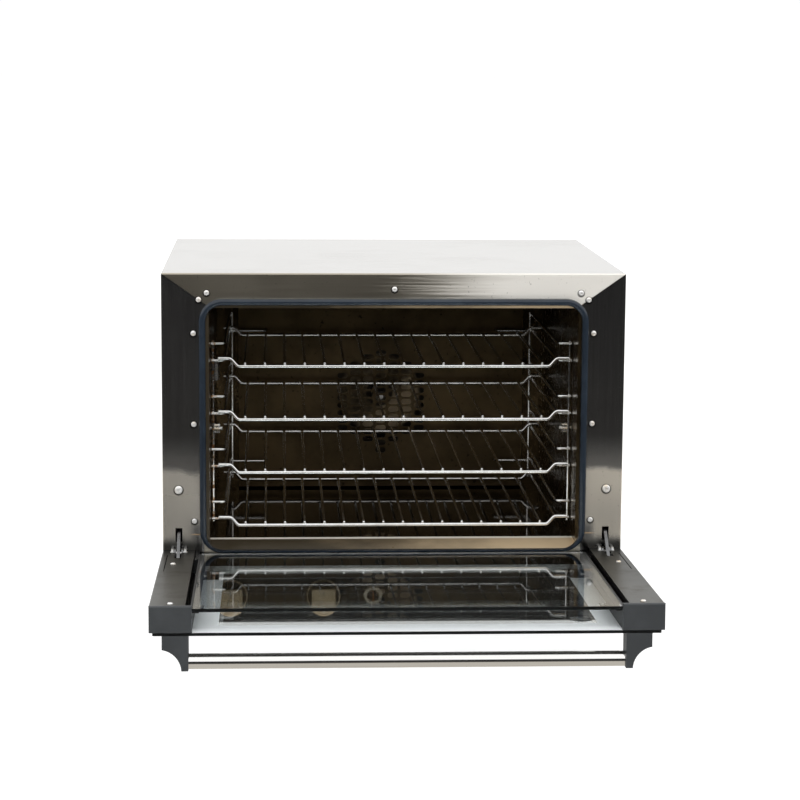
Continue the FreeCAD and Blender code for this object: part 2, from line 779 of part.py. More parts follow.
# Heating elements: two tube rings round the fan wheel, ends through the back
heaters = []
for number, angle in ((0, 14.0), (1, 26.0)):
    ring_y = fan_front + 4.0 + HEATER_PITCH * number
    half_gap = math.radians(angle)
    ring_face = Part.Face(
        Part.Wire(
            Part.makeCircle(
                HEATER_TUBE_RADIUS, V(0, ring_y, FAN_CENTRE_Z + HEATER_RADIUS), V(1, 0, 0)
            )
        )
    )
    ring_face.rotate(V(0, 0, FAN_CENTRE_Z), fan_axis, angle)
    loop = ring_face.revolve(V(0, 0, FAN_CENTRE_Z), fan_axis, 360.0 - 2 * angle)
    parts = [loop]
    for side in (-1, 1):
        end = V(
            side * HEATER_RADIUS * math.sin(half_gap),
            ring_y,
            FAN_CENTRE_Z + HEATER_RADIUS * math.cos(half_gap),
        )
        way = V(-side * math.cos(half_gap), 0, math.sin(half_gap))
        centre = end.add(V(0, HEATER_BEND, 0))
        axis = way.cross(V(0, 1, 0))
        bend_face = Part.Face(Part.Wire(Part.makeCircle(HEATER_TUBE_RADIUS, end, way)))
        parts.append(bend_face.revolve(centre, axis, 90.0))
        leg = end.add(V(way).multiply(HEATER_BEND)).add(V(0, HEATER_BEND, 0))
        tail = V(leg.x, CHAMBER_BACK + SHEET + 12.0, leg.z)
        parts.append(rod(leg, tail, HEATER_TUBE_RADIUS))
        back_plate = back_plate.cut(
            rod(
                V(leg.x, CHAMBER_BACK - 1, leg.z),
                V(leg.x, CHAMBER_BACK + 3, leg.z),
                HEATER_TUBE_RADIUS,
            )
        )
    heaters.append(parts[0].fuse(parts[1:]).removeSplitter())
nodes["heating_elements"] = Part.makeCompound(heaters)
nodes["chamber_back_plate"] = back_plate

# Insulation blankets
blanket_half = HINGE_X - ear_out - BLANKET_HINGE_GAP
top_blanket = box(
    -blanket_half,
    blanket_half,
    BLANKET_FRONT,
    CHAMBER_BACK,
    liner_z1 + FIT,
    liner_z1 + BLANKET_TOP,
)
side_blanket = box(
    -blanket_half, -liner_half - FIT, BLANKET_FRONT, CHAMBER_BACK, liner_z0, liner_z1
)
floor_blanket = box(
    -liner_half,
    liner_half,
    SILL_RUN + FIT,
    CHAMBER_BACK,
    liner_z0 - BLANKET_FLOOR,
    liner_z0 - FIT,
)
nodes["insulation"] = Part.makeCompound(
    [top_blanket, floor_blanket, side_blanket, other_side(side_blanket)]
)

# Steam vent pipe from the chamber to the back, with a swaged spigot outside
vent_end = DEPTH + VENT_STICKOUT
vent_step = vent_end - SPIGOT_LENGTH
vent = rod(V(VENT_X, CHAMBER_BACK, VENT_LEVEL), V(VENT_X, vent_step, VENT_LEVEL), VENT_RADIUS)
vent = vent.fuse(
    rod(V(VENT_X, vent_step - 1, VENT_LEVEL), V(VENT_X, vent_end, VENT_LEVEL), SPIGOT_RADIUS)
)
vent = vent.cut(
    rod(
        V(VENT_X, CHAMBER_BACK - 1, VENT_LEVEL),
        V(VENT_X, vent_end + 1, VENT_LEVEL),
        SPIGOT_RADIUS - VENT_WALL,
    )
)
nodes["steam_vent_pipe"] = vent

# Cable gland on the back cover
gland = turned(
    [
        (CABLE_RADIUS, -12.0),
        (8.0, -12.0),
        (8.0, 0.0),
        (12.0, 0.0),
        (12.0, 5.0),
        (10.5, 6.0),
        (10.5, 12.0),
        (7.5, 16.0),
        (CABLE_RADIUS, 16.0),
    ],
    V(GLAND_X, cover_y, GLAND_LEVEL),
    V(0, 1, 0),
)
nodes["cable_gland"] = gland

# Terminal block on the base pan
block_y = DEPTH - 90.0
terminal = box(
    GLAND_X - 32.0, GLAND_X + 32.0, block_y, block_y + 22.0, FOOT_HEIGHT + SHEET, FOOT_HEIGHT + 22.0
)
for number in range(5):
    x = GLAND_X - 24.0 + number * 12.0
    terminal = terminal.cut(
        rod(V(x, block_y + 11.0, FOOT_HEIGHT + 16.0), V(x, block_y + 11.0, FOOT_HEIGHT + 23.0), 3.2)
    )
nodes["terminal_block"] = terminal

# Wire shelf: two bent carrying rails with cross wires welded on top, round at the front
rail_span = SHELF_DEPTH - 2 * RAIL_RADIUS


def shelf_at(level):
    """Wire shelf with its rails at the given height."""
    front_y = SHELF_FRONT + RAIL_RADIUS
    raised_z = level + DROP_HEIGHT
    pieces = []
    for y in (front_y, front_y + rail_span):
        pieces.append(
            bent_rod(
                [
                    V(-RAIL_END, y, raised_z),
                    V(-DROP_HALF_SPAN - DROP_RUN, y, raised_z),
                    V(-DROP_HALF_SPAN, y, level),
                    V(DROP_HALF_SPAN, y, level),
                    V(DROP_HALF_SPAN + DROP_RUN, y, raised_z),
                    V(RAIL_END, y, raised_z),
                ],
                RAIL_RADIUS,
                DROP_BEND,
            )
        )
    wire_z = level + RAIL_RADIUS + CROSS_RADIUS - WELD
    for number in range(CROSS_COUNT):
        x = (number - (CROSS_COUNT - 1) / 2.0) * CROSS_PITCH
        pieces.append(
            rod(
                V(x, SHELF_FRONT + CROSS_BEAD, wire_z),
                V(x, SHELF_FRONT + SHELF_DEPTH, wire_z),
                CROSS_RADIUS,
            )
        )
        pieces.append(Part.makeSphere(CROSS_BEAD, V(x, SHELF_FRONT + CROSS_BEAD, wire_z)))
    return pieces[0].fuse(pieces[1:])


first_shelf = shelf_at(0.0)
for number, level in enumerate(SHELF_LEVELS):
    shelf = first_shelf.copy()
    shelf.translate(V(SHELF_SHIFT, 0, level))
    nodes["wire_shelf_" + str(number + 1)] = shelf

# Side rack, drawn on the left: front and rear uprights with bent rails
rack_pieces = []
lower_levels = []
for level in SHELF_LEVELS:
    lower = level + DROP_HEIGHT - RAIL_RADIUS - RACK_RADIUS - RACK_PLAY
    lower_levels.append(lower)
    for z in (lower, lower + RACK_RAIL_GAP):
        rack_pieces.append(
            bent_rod(
                [
                    V(-RACK_FRONT_X, RACK_FRONT, z),
                    V(-RACK_RAIL_X, RACK_FRONT, z),
                    V(-RACK_RAIL_X, RACK_REAR + RACK_RADIUS, z),
                ],
                RACK_RADIUS,
                RACK_BEND,
            )
        )
rack_top = max(lower_levels) + RACK_RAIL_GAP
rack_low = min(lower_levels)
upright_y = RACK_FRONT + 2 * RACK_RADIUS - WELD
rack_pieces.append(
    rod(
        V(-RACK_FRONT_X + RACK_RADIUS, upright_y, rack_low - 4.0),
        V(-RACK_FRONT_X + RACK_RADIUS, upright_y, rack_top + 4.0),
        RACK_RADIUS,
    )
)
rack_pieces.append(
    rod(
        V(-RACK_REAR_X, RACK_REAR, rack_low - 4.0),
        V(-RACK_REAR_X, RACK_REAR, rack_top + 4.0),
        RACK_RADIUS,
    )
)
for level in HOOK_LEVELS:
    hook_y = RACK_REAR
    rack_pieces.append(
        bent_rod(
            [
                V(-RACK_REAR_X, hook_y, level),
                V(-HOOK_X, hook_y, level),
                V(-HOOK_X, GUARD_FRONT + SHEET + 6.0, level),
            ],
            RACK_RADIUS,
            4.0,
        )
    )
rack = rack_pieces[0].fuse(rack_pieces[1:])
nodes["left_side_rack"] = rack
nodes["right_side_rack"] = other_side(rack)

# Rack fasteners: wall stud with a knurled nut that holds the front upright
stud_y = upright_y + RACK_RADIUS + 4.0
nut_in = -RACK_FRONT_X + 2 * RACK_RADIUS
stud = turned(
    [(0.0, 0.0), (2.5, 0.0), (2.5, CHAMBER_HALF + nut_in + NUT_LENGTH + 3.0),
     (0.0, CHAMBER_HALF + nut_in + NUT_LENGTH + 3.0)],
    V(-CHAMBER_HALF, stud_y, NUT_LEVEL),
    V(1, 0, 0),
)
knurl = []
for step in range(24):
    turn = math.radians(15.0 * step)
    reach = NUT_RADIUS if step % 2 == 0 else NUT_RADIUS * 0.88
    knurl.append((stud_y + reach * math.cos(turn), NUT_LEVEL + reach * math.sin(turn)))
nut = prism_x(knurl, nut_in, nut_in + NUT_LENGTH)
nut = nut.cut(rod(V(nut_in - 1, stud_y, NUT_LEVEL), V(nut_in + 9, stud_y, NUT_LEVEL), 2.5))
nodes["rack_fasteners"] = both_sides(Part.makeCompound([stud, nut]))

# Temperature probe on the left wall: upright bulb in a perforated sleeve
probe_x = -CHAMBER_HALF + PROBE_RADIUS + 1.5
probe_top = PROBE_LEVEL + PROBE_LENGTH / 2.0
probe_low = PROBE_LEVEL - PROBE_LENGTH / 2.0
sleeve = rod(V(probe_x, PROBE_Y, probe_low), V(probe_x, PROBE_Y, probe_top), PROBE_RADIUS)
sleeve = sleeve.cut(
    rod(
        V(probe_x, PROBE_Y, probe_low - 1),
        V(probe_x, PROBE_Y, probe_top + 1),
        PROBE_RADIUS - SHEET,
    )
)
for row in range(PROBE_ROWS):
    z = probe_low + (row + 0.5) * PROBE_LENGTH / PROBE_ROWS
    for turn in (-40.0, 40.0):
        hole = rod(V(probe_x, PROBE_Y, z), V(probe_x, PROBE_Y - PROBE_RADIUS - 1, z), PROBE_HOLE)
        hole.rotate(V(probe_x, PROBE_Y, z), V(0, 0, 1), turn)
        sleeve = sleeve.cut(hole)
sleeve = sleeve.fuse(
    box(
        -CHAMBER_HALF,
        probe_x - PROBE_RADIUS + SHEET,
        PROBE_Y - 2.0,
        PROBE_Y + 2.0,
        probe_low,
        probe_top,
    )
).removeSplitter()
nodes["probe_sleeve"] = sleeve

# Screws on the front frame
frame_screws = []
screw_places = [(FRAME_HALF + x, FRAME_Z1 + z) for x, z in CORNER_SCREWS]
mid_screw_z = (CHAMBER_FLOOR + CHAMBER_CEILING) / 2.0 + MID_SCREW_RISE
for z in (FRAME_Z1 - HIGH_SCREW_DROP, mid_screw_z, CHAMBER_FLOOR + LOW_SCREW_RISE):
    screw_places.append((FRAME_HALF + FRAME_SCREW_EDGE, z))
for x, z in screw_places:
    for side in (-1, 1):
        frame_screws.append(screw(side * x, 0, z, SCREW_RADIUS, SCREW_HEAD, V(0, -1, 0)))
top_screw_z = FRAME_Z1 + TOP_SCREW_RISE
frame_screws.append(screw(0, 0, top_screw_z, SCREW_RADIUS, SCREW_HEAD, V(0, -1, 0)))
for side in (-1, 1):
    frame_screws.append(
        screw(side * HINGE_X, 0, BIG_SCREW_LEVEL, BIG_SCREW_RADIUS, BIG_SCREW_HEAD, V(0, -1, 0))
    )
nodes["front_frame_screws"] = Part.makeCompound(frame_screws)

# Door: outer glass
glass_half = HALF - OUTER_GLASS_INSET
outer_glass = box(-glass_half, glass_half, -DOOR_REACH, -HINGE_END_GAP, DOOR_LOW, GLASS_TOP)
outer_glass = outer_glass.makeFillet(
    3.0, edges_where(outer_glass, lambda m, e: abs(e.tangentAt(e.FirstParameter).z) > 0.99)
)
nodes["outer_glass"] = raised(outer_glass)

# Door: inner glass
nodes["inner_glass"] = raised(
    box(
        -INNER_GLASS_HALF,
        INNER_GLASS_HALF,
        -DOOR_REACH + INNER_GLASS_BACK,
        -HINGE_END_GAP - INNER_GLASS_SETBACK,
        INNER_LOW,
        INNER_TOP,
    )
)

# Door: left steel profile, a channel standing on the outer glass
cap_y = -DOOR_REACH + CAP_PLATE
profile = box(-HALF, -PROFILE_INNER_X, cap_y, -HINGE_END_GAP, GLASS_TOP, DOOR_LEVEL)
profile = profile.makeFillet(
    BEND_RADIUS,
    edges_where(profile, lambda m, e: m.z > DOOR_LEVEL - 1 and abs(m.x) > HALF - 1),
)
profile = profile.cut(
    box(
        -HALF + SHEET,
        -PROFILE_INNER_X - SHEET,
        cap_y - 1,
        0,
        GLASS_TOP + SHEET,
        DOOR_LEVEL - SHEET,
    )
)
profile = profile.cut(
    box(
        -PROFILE_INNER_X - SHEET - 1,
        -PROFILE_INNER_X + 1,
        cap_y - 1,
        0,
        GLASS_TOP + SHEET,
        DOOR_LEVEL - 9.0,
    )
)
notch_half = ear_out + 1.2
notch_y = PIVOT_Y - EAR_RADIUS - 2.0
profile = profile.cut(
    box(
        -HINGE_X - notch_half,
        -HINGE_X + notch_half,
        notch_y,
        0,
        DOOR_LEVEL - 12.0,
        DOOR_LEVEL + 1,
    )
)
profile = profile.cut(
    box(-HINGE_X - 4.0, -HINGE_X + 4.0, -56.0, notch_y + 1, DOOR_LEVEL - 3, DOOR_LEVEL + 1)
)
profile = profile.cut(
    box(
        -HALF + SLIT_INSET - SLIT_WIDTH / 2.0,
        -HALF + SLIT_INSET + SLIT_WIDTH / 2.0,
        -SLIT_FRONT,
        -SLIT_BACK,
        DOOR_LEVEL - 3,
        DOOR_LEVEL + 1,
    )
)
nodes["left_door_profile"] = raised(profile)
nodes["right_door_profile"] = raised(other_side(profile))

# Door: black rails that carry the inner glass
rail_wall = INNER_GLASS_HALF + GLASS_PLAY
glass_rail = box(
    -rail_wall - GLASS_RAIL, -rail_wall, cap_y, -HINGE_END_GAP - 7.0, GLASS_TOP, INNER_TOP
)
ledge = box(
    -rail_wall - GLASS_RAIL,
    -rail_wall + GLASS_LEDGE,
    cap_y,
    -HINGE_END_GAP - 18.0,
    INNER_LOW - 1.5,
    INNER_LOW,
)
foot_tab_y = -DOOR_REACH + RAIL_SCREW_FRONT
foot_strip = box(
    -rail_wall - GLASS_RAIL,
    -rail_wall + 10.0,
    foot_tab_y - RAIL_TAB,
    foot_tab_y + RAIL_TAB,
    GLASS_TOP,
    GLASS_TOP + 1.5,
)
foot_plate = box(
    -rail_wall - GLASS_RAIL,
    -rail_wall + 24.0,
    -58.0,
    -HINGE_END_GAP - 7.0,
    GLASS_TOP,
    GLASS_TOP + 1.5,
)
glass_rail = glass_rail.fuse([ledge, foot_strip, foot_plate]).removeSplitter()
nodes["left_glass_rail"] = raised(glass_rail)
nodes["right_glass_rail"] = raised(other_side(glass_rail))
rail_screws = []
for y in (-RAIL_SCREW_BACK, foot_tab_y):
    rail_screws.append(
        screw(-rail_wall + 5.5, y, GLASS_TOP + 1.5, SCREW_RADIUS, SCREW_HEAD, V(0, 0, 1))
    )

# Door: steel bottom rail at the hinge end
bottom_rail = box(
    -rail_wall, rail_wall, -HINGE_END_GAP - SHEET, -HINGE_END_GAP, GLASS_TOP, INNER_LOW
)
bottom_rail = bottom_rail.fuse(
    box(
        -rail_wall,
        rail_wall,
        -HINGE_END_GAP - 17.0,
        -HINGE_END_GAP,
        INNER_LOW - SHEET,
        INNER_LOW,
    )
)
bottom_rail = bottom_rail.fuse(
    box(
        -rail_wall + 26.0,
        rail_wall - 26.0,
        -HINGE_END_GAP - 17.0,
        -HINGE_END_GAP,
        GLASS_TOP,
        GLASS_TOP + SHEET,
    )
).removeSplitter()
nodes["door_bottom_rail"] = raised(bottom_rail)

# Door: end caps of the profiles
cap = box(-HALF, -CAP_INNER_X, -DOOR_REACH, cap_y, GLASS_TOP, DOOR_LEVEL)
cap = cap.makeFillet(
    CAP_ROUND,
    edges_where(cap, lambda m, e: m.y < -DOOR_REACH + 0.1 and m.z > GLASS_TOP + 1),
)
plug = box(
    -HALF + SHEET + FIT,
    -PROFILE_INNER_X - SHEET - FIT,
    cap_y,
    cap_y + CAP_PLUG,
    GLASS_TOP + SHEET + FIT,
    DOOR_LEVEL - SHEET - FIT,
)
cap = cap.fuse(plug).removeSplitter()
nodes["left_end_cap"] = raised(cap)
nodes["right_end_cap"] = raised(other_side(cap))

# Door: screws through the profiles
door_screws = rail_screws
for inset, y in zip(DOOR_SCREW_INSETS, (-DOOR_SCREW_BACK, -DOOR_REACH + DOOR_SCREW_FRONT)):
    door_screws.append(
        screw(-HALF + inset, y, DOOR_LEVEL, SCREW_RADIUS, SCREW_HEAD, V(0, 0, 1))
    )
nodes["door_screws"] = raised(both_sides(Part.makeCompound(door_screws)))

# Handle: round bar between two brackets with a hollowed outer edge
outer_x = -BRACKET_INNER_X - BRACKET_WIDTH
tip_x = -BRACKET_INNER_X - BRACKET_TIP
low_z = DOOR_LOW - BRACKET_DROP
straight_z = DOOR_LOW - BRACKET_STRAIGHT
front_y = -DOOR_REACH
arc_x = BRACKET_WIDTH - BRACKET_TIP
arc_z = BRACKET_DROP - BRACKET_STRAIGHT
arc_mid = V(outer_x + arc_x * HOLLOW, front_y, low_z + arc_z * HOLLOW)
corner = [
    V(-BRACKET_INNER_X, front_y, DOOR_LOW),
    V(outer_x, front_y, DOOR_LOW),
    V(outer_x, front_y, straight_z),
    V(tip_x, front_y, low_z),
    V(-BRACKET_INNER_X, front_y, low_z),
]
outline = Part.Wire(
    [
        Part.makeLine(corner[0], corner[1]),
        Part.makeLine(corner[1], corner[2]),
        Part.Arc(corner[2], arc_mid, corner[3]).toShape(),
        Part.makeLine(corner[3], corner[4]),
        Part.makeLine(corner[4], corner[0]),
    ]
)
bracket = Part.Face(outline).extrude(V(0, BRACKET_DEPTH, 0))
bar_y = front_y + BRACKET_DEPTH / 2.0
bar_z = low_z + BAR_RADIUS
bar_end = BRACKET_INNER_X + BAR_SOCKET
handle_bar = rod(V(-bar_end, bar_y, bar_z), V(bar_end, bar_y, bar_z), BAR_RADIUS)
bracket = bracket.cut(handle_bar)
nodes["left_handle_bracket"] = raised(bracket)
nodes["right_handle_bracket"] = raised(other_side(bracket))
nodes["handle_bar"] = raised(handle_bar)

# Hinge leaf inside the profile: two cheeks that turn on the hinge pin
rivet_y = PIVOT_Y - ARM_REACH
rivet_z = PIVOT_Z - ARM_DROP
leaf_low = GLASS_TOP + SHEET


def cheek(x0, x1):
    """Side plate of the hinge leaf with both pivot holes."""
    plate = prism_x(
        [
            (PIVOT_Y + EAR_RADIUS, PIVOT_Z),
            (PIVOT_Y, PIVOT_Z - EAR_RADIUS),
            (PIVOT_Y - 4.0, leaf_low),
            (-78.0, leaf_low),
            (-78.0, leaf_low + 12.0),
            (rivet_y - 8.0, DOOR_LEVEL - SHEET - 2.0),
            (PIVOT_Y - EAR_RADIUS, DOOR_LEVEL - SHEET - 2.0),
        ],
        x0,
        x1,
    )
    plate = plate.fuse(rod(V(x0, PIVOT_Y, PIVOT_Z), V(x1, PIVOT_Y, PIVOT_Z), EAR_RADIUS))
    plate = plate.cut(
        rod(V(x0 - 1, PIVOT_Y, PIVOT_Z), V(x1 + 1, PIVOT_Y, PIVOT_Z), PIN_RADIUS + PIN_PLAY)
    )
    return plate.cut(rod(V(x0 - 1, rivet_y, rivet_z), V(x1 + 1, rivet_y, rivet_z), RIVET_RADIUS))


leaf = cheek(-HINGE_X + cheek_in, -HINGE_X + cheek_out)
leaf = leaf.fuse(cheek(-HINGE_X - cheek_out, -HINGE_X - cheek_in))
leaf = leaf.fuse(
    box(
        -HINGE_X - cheek_out,
        -HINGE_X + cheek_out,
        -78.0,
        PIVOT_Y - 10.0,
        leaf_low,
        leaf_low + 2.0,
    )
).removeSplitter()
nodes["left_hinge_leaf"] = raised(leaf)
nodes["right_hinge_leaf"] = raised(other_side(leaf))
rivet = rod(
    V(-HINGE_X - cheek_out, rivet_y, rivet_z), V(-HINGE_X + cheek_out, rivet_y, rivet_z), RIVET_RADIUS
)
nodes["arm_rivets"] = raised(both_sides(rivet))

# Hinge bracket behind the front frame, its two ears reach out to the pin
ear_z0 = PIVOT_Z - EAR_RADIUS
ear_z1 = PIVOT_Z + EAR_RADIUS


def ear(x0, x1):
    """Bracket side plate with the ear that carries the hinge pin."""
    plate = box(x0, x1, PIVOT_Y, 3 * SHEET, ear_z0, ear_z1)
    plate = plate.fuse(rod(V(x0, PIVOT_Y, PIVOT_Z), V(x1, PIVOT_Y, PIVOT_Z), EAR_RADIUS))
    plate = plate.fuse(box(x0, x1, SHEET, BRACKET_LENGTH, ear_z0, ARM_SLOT_HIGH + 26.0))
    return plate.cut(rod(V(x0 - 1, PIVOT_Y, PIVOT_Z), V(x1 + 1, PIVOT_Y, PIVOT_Z), PIN_RADIUS))


bracket_plate = box(
    -HINGE_X - ear_out, -HINGE_X + ear_out, SHEET, SHEET + 2.0, ear_z0, BRACKET_TOP
)
bracket_plate = bracket_plate.cut(
    box(
        -HINGE_X - ear_in,
        -HINGE_X + ear_in,
        0,
        SHEET + 3.0,
        ear_z0 - 1,
        ARM_SLOT_HIGH + 6.0,
    )
)
hinge_bracket = bracket_plate.fuse(
    [
        ear(-HINGE_X + ear_in, -HINGE_X + ear_out),
        ear(-HINGE_X - ear_out, -HINGE_X - ear_in),
        box(
            -HINGE_X - ear_out,
            -HINGE_X + ear_out,
            BRACKET_LENGTH - 3.0,
            BRACKET_LENGTH,
            ear_z0,
            ARM_SLOT_HIGH + 26.0,
        ),
    ]
).removeSplitter()
nodes["left_hinge_bracket"] = hinge_bracket
nodes["right_hinge_bracket"] = other_side(hinge_bracket)
pin = rod(
    V(-HINGE_X - ear_out - 1.0, PIVOT_Y, PIVOT_Z),
    V(-HINGE_X + ear_out + 1.0, PIVOT_Y, PIVOT_Z),
    PIN_RADIUS,
)
nodes["hinge_pins"] = both_sides(pin)

# Stay arm between the door leaf and the hinge bracket, drawn at its rest angle
rest = math.radians(OPEN_RISE)
arm_y = PIVOT_Y - ARM_REACH * math.cos(rest) - ARM_DROP * math.sin(rest)
arm_z = PIVOT_Z + ARM_REACH * math.sin(rest) - ARM_DROP * math.cos(rest)
arm_x0 = -HINGE_X - ARM_THICK / 2.0
arm_x1 = -HINGE_X + ARM_THICK / 2.0
arm = box(arm_x0, arm_x1, 0, ARM_LENGTH, -ARM_HALF, ARM_HALF)
arm = arm.fuse(rod(V(arm_x0, 0, 0), V(arm_x1, 0, 0), ARM_HALF + 1.0))
arm = arm.fuse(rod(V(arm_x0, ARM_LENGTH, 0), V(arm_x1, ARM_LENGTH, 0), ARM_HALF + 2.0))
arm = arm.cut(rod(V(arm_x0 - 1, 0, 0), V(arm_x1 + 1, 0, 0), RIVET_RADIUS + PIN_PLAY))
arm = arm.cut(rod(V(arm_x0 - 1, ARM_LENGTH, 0), V(arm_x1 + 1, ARM_LENGTH, 0), 2.0))
arm = arm.removeSplitter()
arm.rotate(V(0, 0, 0), V(1, 0, 0), ARM_REST_ANGLE)
arm.translate(V(0, arm_y, arm_z))
nodes["left_stay_arm"] = arm
nodes["right_stay_arm"] = other_side(arm)

# Knobs with their spindles
for name, x in (("timer", TIMER_X), ("thermostat", THERMOSTAT_X)):
    face_y = -KNOB_GAP - KNOB_HEIGHT
    skirt_y = -KNOB_GAP - KNOB_SKIRT
    skirt = rod(V(x, -KNOB_GAP, CONTROL_LEVEL), V(x, skirt_y, CONTROL_LEVEL), KNOB_RADIUS)
    skirt = skirt.makeFillet(2.0, edges_where(skirt, lambda m, e: m.y < skirt_y + 0.1))
    grip = rod(V(x, skirt_y + 1, CONTROL_LEVEL), V(x, face_y, CONTROL_LEVEL), KNOB_RADIUS - 2.5)
    grip = grip.common(
        box(
            x - KNOB_GRIP / 2,
            x + KNOB_GRIP / 2,
            face_y - 1,
            0,
            CONTROL_LEVEL - 30,
            CONTROL_LEVEL + KNOB_FLAT,
        )
    )
    grip = grip.makeFillet(2.0, edges_where(grip, lambda m, e: m.y < face_y + 0.1))
    knob = skirt.fuse(grip).removeSplitter()
    knob = knob.cut(
        box(x - 0.8, x + 0.8, face_y - 1, face_y + 0.8, CONTROL_LEVEL + 4, CONTROL_LEVEL + 30)
    )
    spindle = rod(V(x, -14.0, CONTROL_LEVEL), V(x, 12.0, CONTROL_LEVEL), SPINDLE_RADIUS)
    nodes[name + "_knob"] = knob.cut(spindle)
    nodes[name + "_spindle"] = spindle

# Thermostat and timer bodies behind the panel
for name, x, size, deep in (
    ("timer", TIMER_X, 46.0, 36.0),
    ("thermostat", THERMOSTAT_X, 40.0, 30.0),
):
    body = box(
        x - size / 2,
        x + size / 2,
        SHEET,
        SHEET + deep,
        CONTROL_LEVEL - 21.0,
        CONTROL_LEVEL + 21.0,
    )
    bush = rod(V(x, 0, CONTROL_LEVEL), V(x, SHEET + 1, CONTROL_LEVEL), SPINDLE_HOLE + 1.5)
    body = body.fuse(bush).removeSplitter()
    body = body.cut(rod(V(x, -1, CONTROL_LEVEL), V(x, 13.0, CONTROL_LEVEL), SPINDLE_HOLE))
    nodes[name + "_body"] = body

# Pilot lamp: bezel ring and dark lens
bezel = turned(
    [
        (LAMP_BODY_RADIUS, 0.0),
        (LAMP_RADIUS, 0.0),
        (LAMP_RADIUS, 2.0),
        (LAMP_RADIUS - 1.2, 3.4),
        (LAMP_BODY_RADIUS, 3.4),
    ],
    V(LAMP_X, 0, CONTROL_LEVEL),
    V(0, -1, 0),
)
nodes["pilot_lamp_bezel"] = bezel
lens = turned(
    [
        (0.0, -24.0),
        (LAMP_BODY_RADIUS, -24.0),
        (LAMP_BODY_RADIUS, 4.0),
        (LAMP_BODY_RADIUS * 0.7, 5.4),
        (0.0, 6.0),
    ],
    V(LAMP_X, 0, CONTROL_LEVEL),
    V(0, -1, 0),
)
nodes["pilot_lamp"] = lens

# Feet
feet = []
for x in (-FOOT_X, FOOT_X):
    for y in (FOOT_FRONT_Y, FOOT_BACK_Y):
        feet.append(
            turned(
                [
                    (0.0, 0.0),
                    (FOOT_RADIUS - 1.5, 0.0),
                    (FOOT_RADIUS, 1.5),
                    (FOOT_RADIUS, FOOT_HEIGHT * 0.5),
                    (FOOT_RADIUS - 5.0, FOOT_HEIGHT * 0.8),
                    (FOOT_RADIUS - 5.0, FOOT_HEIGHT),
                    (0.0, FOOT_HEIGHT),
                ],
                V(x, y, 0),
                V(0, 0, 1),
            )
        )
nodes["feet"] = Part.makeCompound(feet)

# Set the middle of the resting oven over the origin and write the pieces
whole = Part.makeCompound(list(nodes.values()))
bounds = whole.optimalBoundingBox(False, False)
front_y = -(bounds.YMin + bounds.YMax) / 2.0
for name, shape in nodes.items():
    shape.translate(V(0, front_y, 0))
    shape.exportStep("parts/" + name + ".step")
    print(name, len(shape.Solids), shape.isValid(), round(shape.Volume / 1000.0, 2), "cm3")
print("pieces", len(nodes), "front plane y", round(front_y, 4))
print("box", bounds.XLength, bounds.YLength, bounds.ZLength, bounds.ZMin)
print("door pivot", round(PIVOT_Y + front_y, 4), PIVOT_Z)
print("arm pivot", round(arm_y + front_y, 4), round(arm_z, 4))
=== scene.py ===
# %% [markdown]
# # Countertop convection oven
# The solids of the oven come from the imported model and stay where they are.
# This lesson dresses them: every piece gets a finish made of nodes, the printed
# parts are modelled as thin meshes, and a camera and soft light are set up.

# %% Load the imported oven
import json
import math

import bmesh
import bpy
from mathutils import Matrix, Vector


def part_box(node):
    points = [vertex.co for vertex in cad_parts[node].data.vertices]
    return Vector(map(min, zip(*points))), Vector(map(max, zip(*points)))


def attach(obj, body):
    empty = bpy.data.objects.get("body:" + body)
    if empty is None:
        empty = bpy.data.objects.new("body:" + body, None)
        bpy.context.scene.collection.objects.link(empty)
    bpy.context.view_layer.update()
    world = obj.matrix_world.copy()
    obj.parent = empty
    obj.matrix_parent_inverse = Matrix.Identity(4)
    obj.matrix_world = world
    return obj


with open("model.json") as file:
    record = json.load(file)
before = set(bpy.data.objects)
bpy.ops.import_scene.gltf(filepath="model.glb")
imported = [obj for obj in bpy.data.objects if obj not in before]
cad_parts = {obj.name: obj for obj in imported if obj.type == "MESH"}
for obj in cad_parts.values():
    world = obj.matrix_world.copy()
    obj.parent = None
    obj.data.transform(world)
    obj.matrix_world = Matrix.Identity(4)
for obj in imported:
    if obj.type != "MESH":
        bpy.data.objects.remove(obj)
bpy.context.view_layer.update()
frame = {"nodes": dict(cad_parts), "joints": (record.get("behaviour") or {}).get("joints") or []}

# %% [markdown]
# The main sizes that the finishes and new pieces need are measured on the loaded
# pieces, and the places of marks and stains are named where they are used. The door
# is drawn at rest a little above level, and its hinge is read from the joint list.

# %% Measure the cabinet and the door
MM = 0.001


def joint_place(name):
    """Point on a joint's axis, at rest."""
    return Vector([j for j in frame["joints"] if j["name"] == name][0]["pos_m"])


casing_low, casing_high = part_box("outer_casing")
front_y = casing_low.y
half_width = casing_high.x
top_z = casing_high.z
pivot = joint_place("door_hinge")
pane_faces = frame["nodes"]["outer_glass"].data.polygons
pane_up = max(pane_faces, key=lambda face: face.area).normal
pane_up = pane_up if pane_up.z > 0 else -pane_up
DOOR_RISE = math.atan2(pane_up.y, pane_up.z)
door_turn = (
    Matrix.Translation(pivot)
    @ Matrix.Rotation(DOOR_RISE, 4, (-1, 0, 0))
    @ Matrix.Translation(-pivot)
)
print("front plane", round(front_y, 4), "hinge", tuple(pivot))
print("door above level, degrees", round(math.degrees(DOOR_RISE), 2))

# %% [markdown]
# ## Camera
# The camera was found by matching corners of the shelf, casing and door with the
# picture, so it is given as a place and three small angles. A camera in Blender
# looks along its own -Z, so the last axis of its frame is the view turned round.

# %% Camera
CAMERA_PLACE = Vector((-0.1542, -3.1104, 0.7777))
YAW, TILT, ROLL = 0.053407, 0.153721, 0.006725
FOCAL_PIXELS, IMAGE_PIXELS, SENSOR = 2370.0, 800.0, 36.0

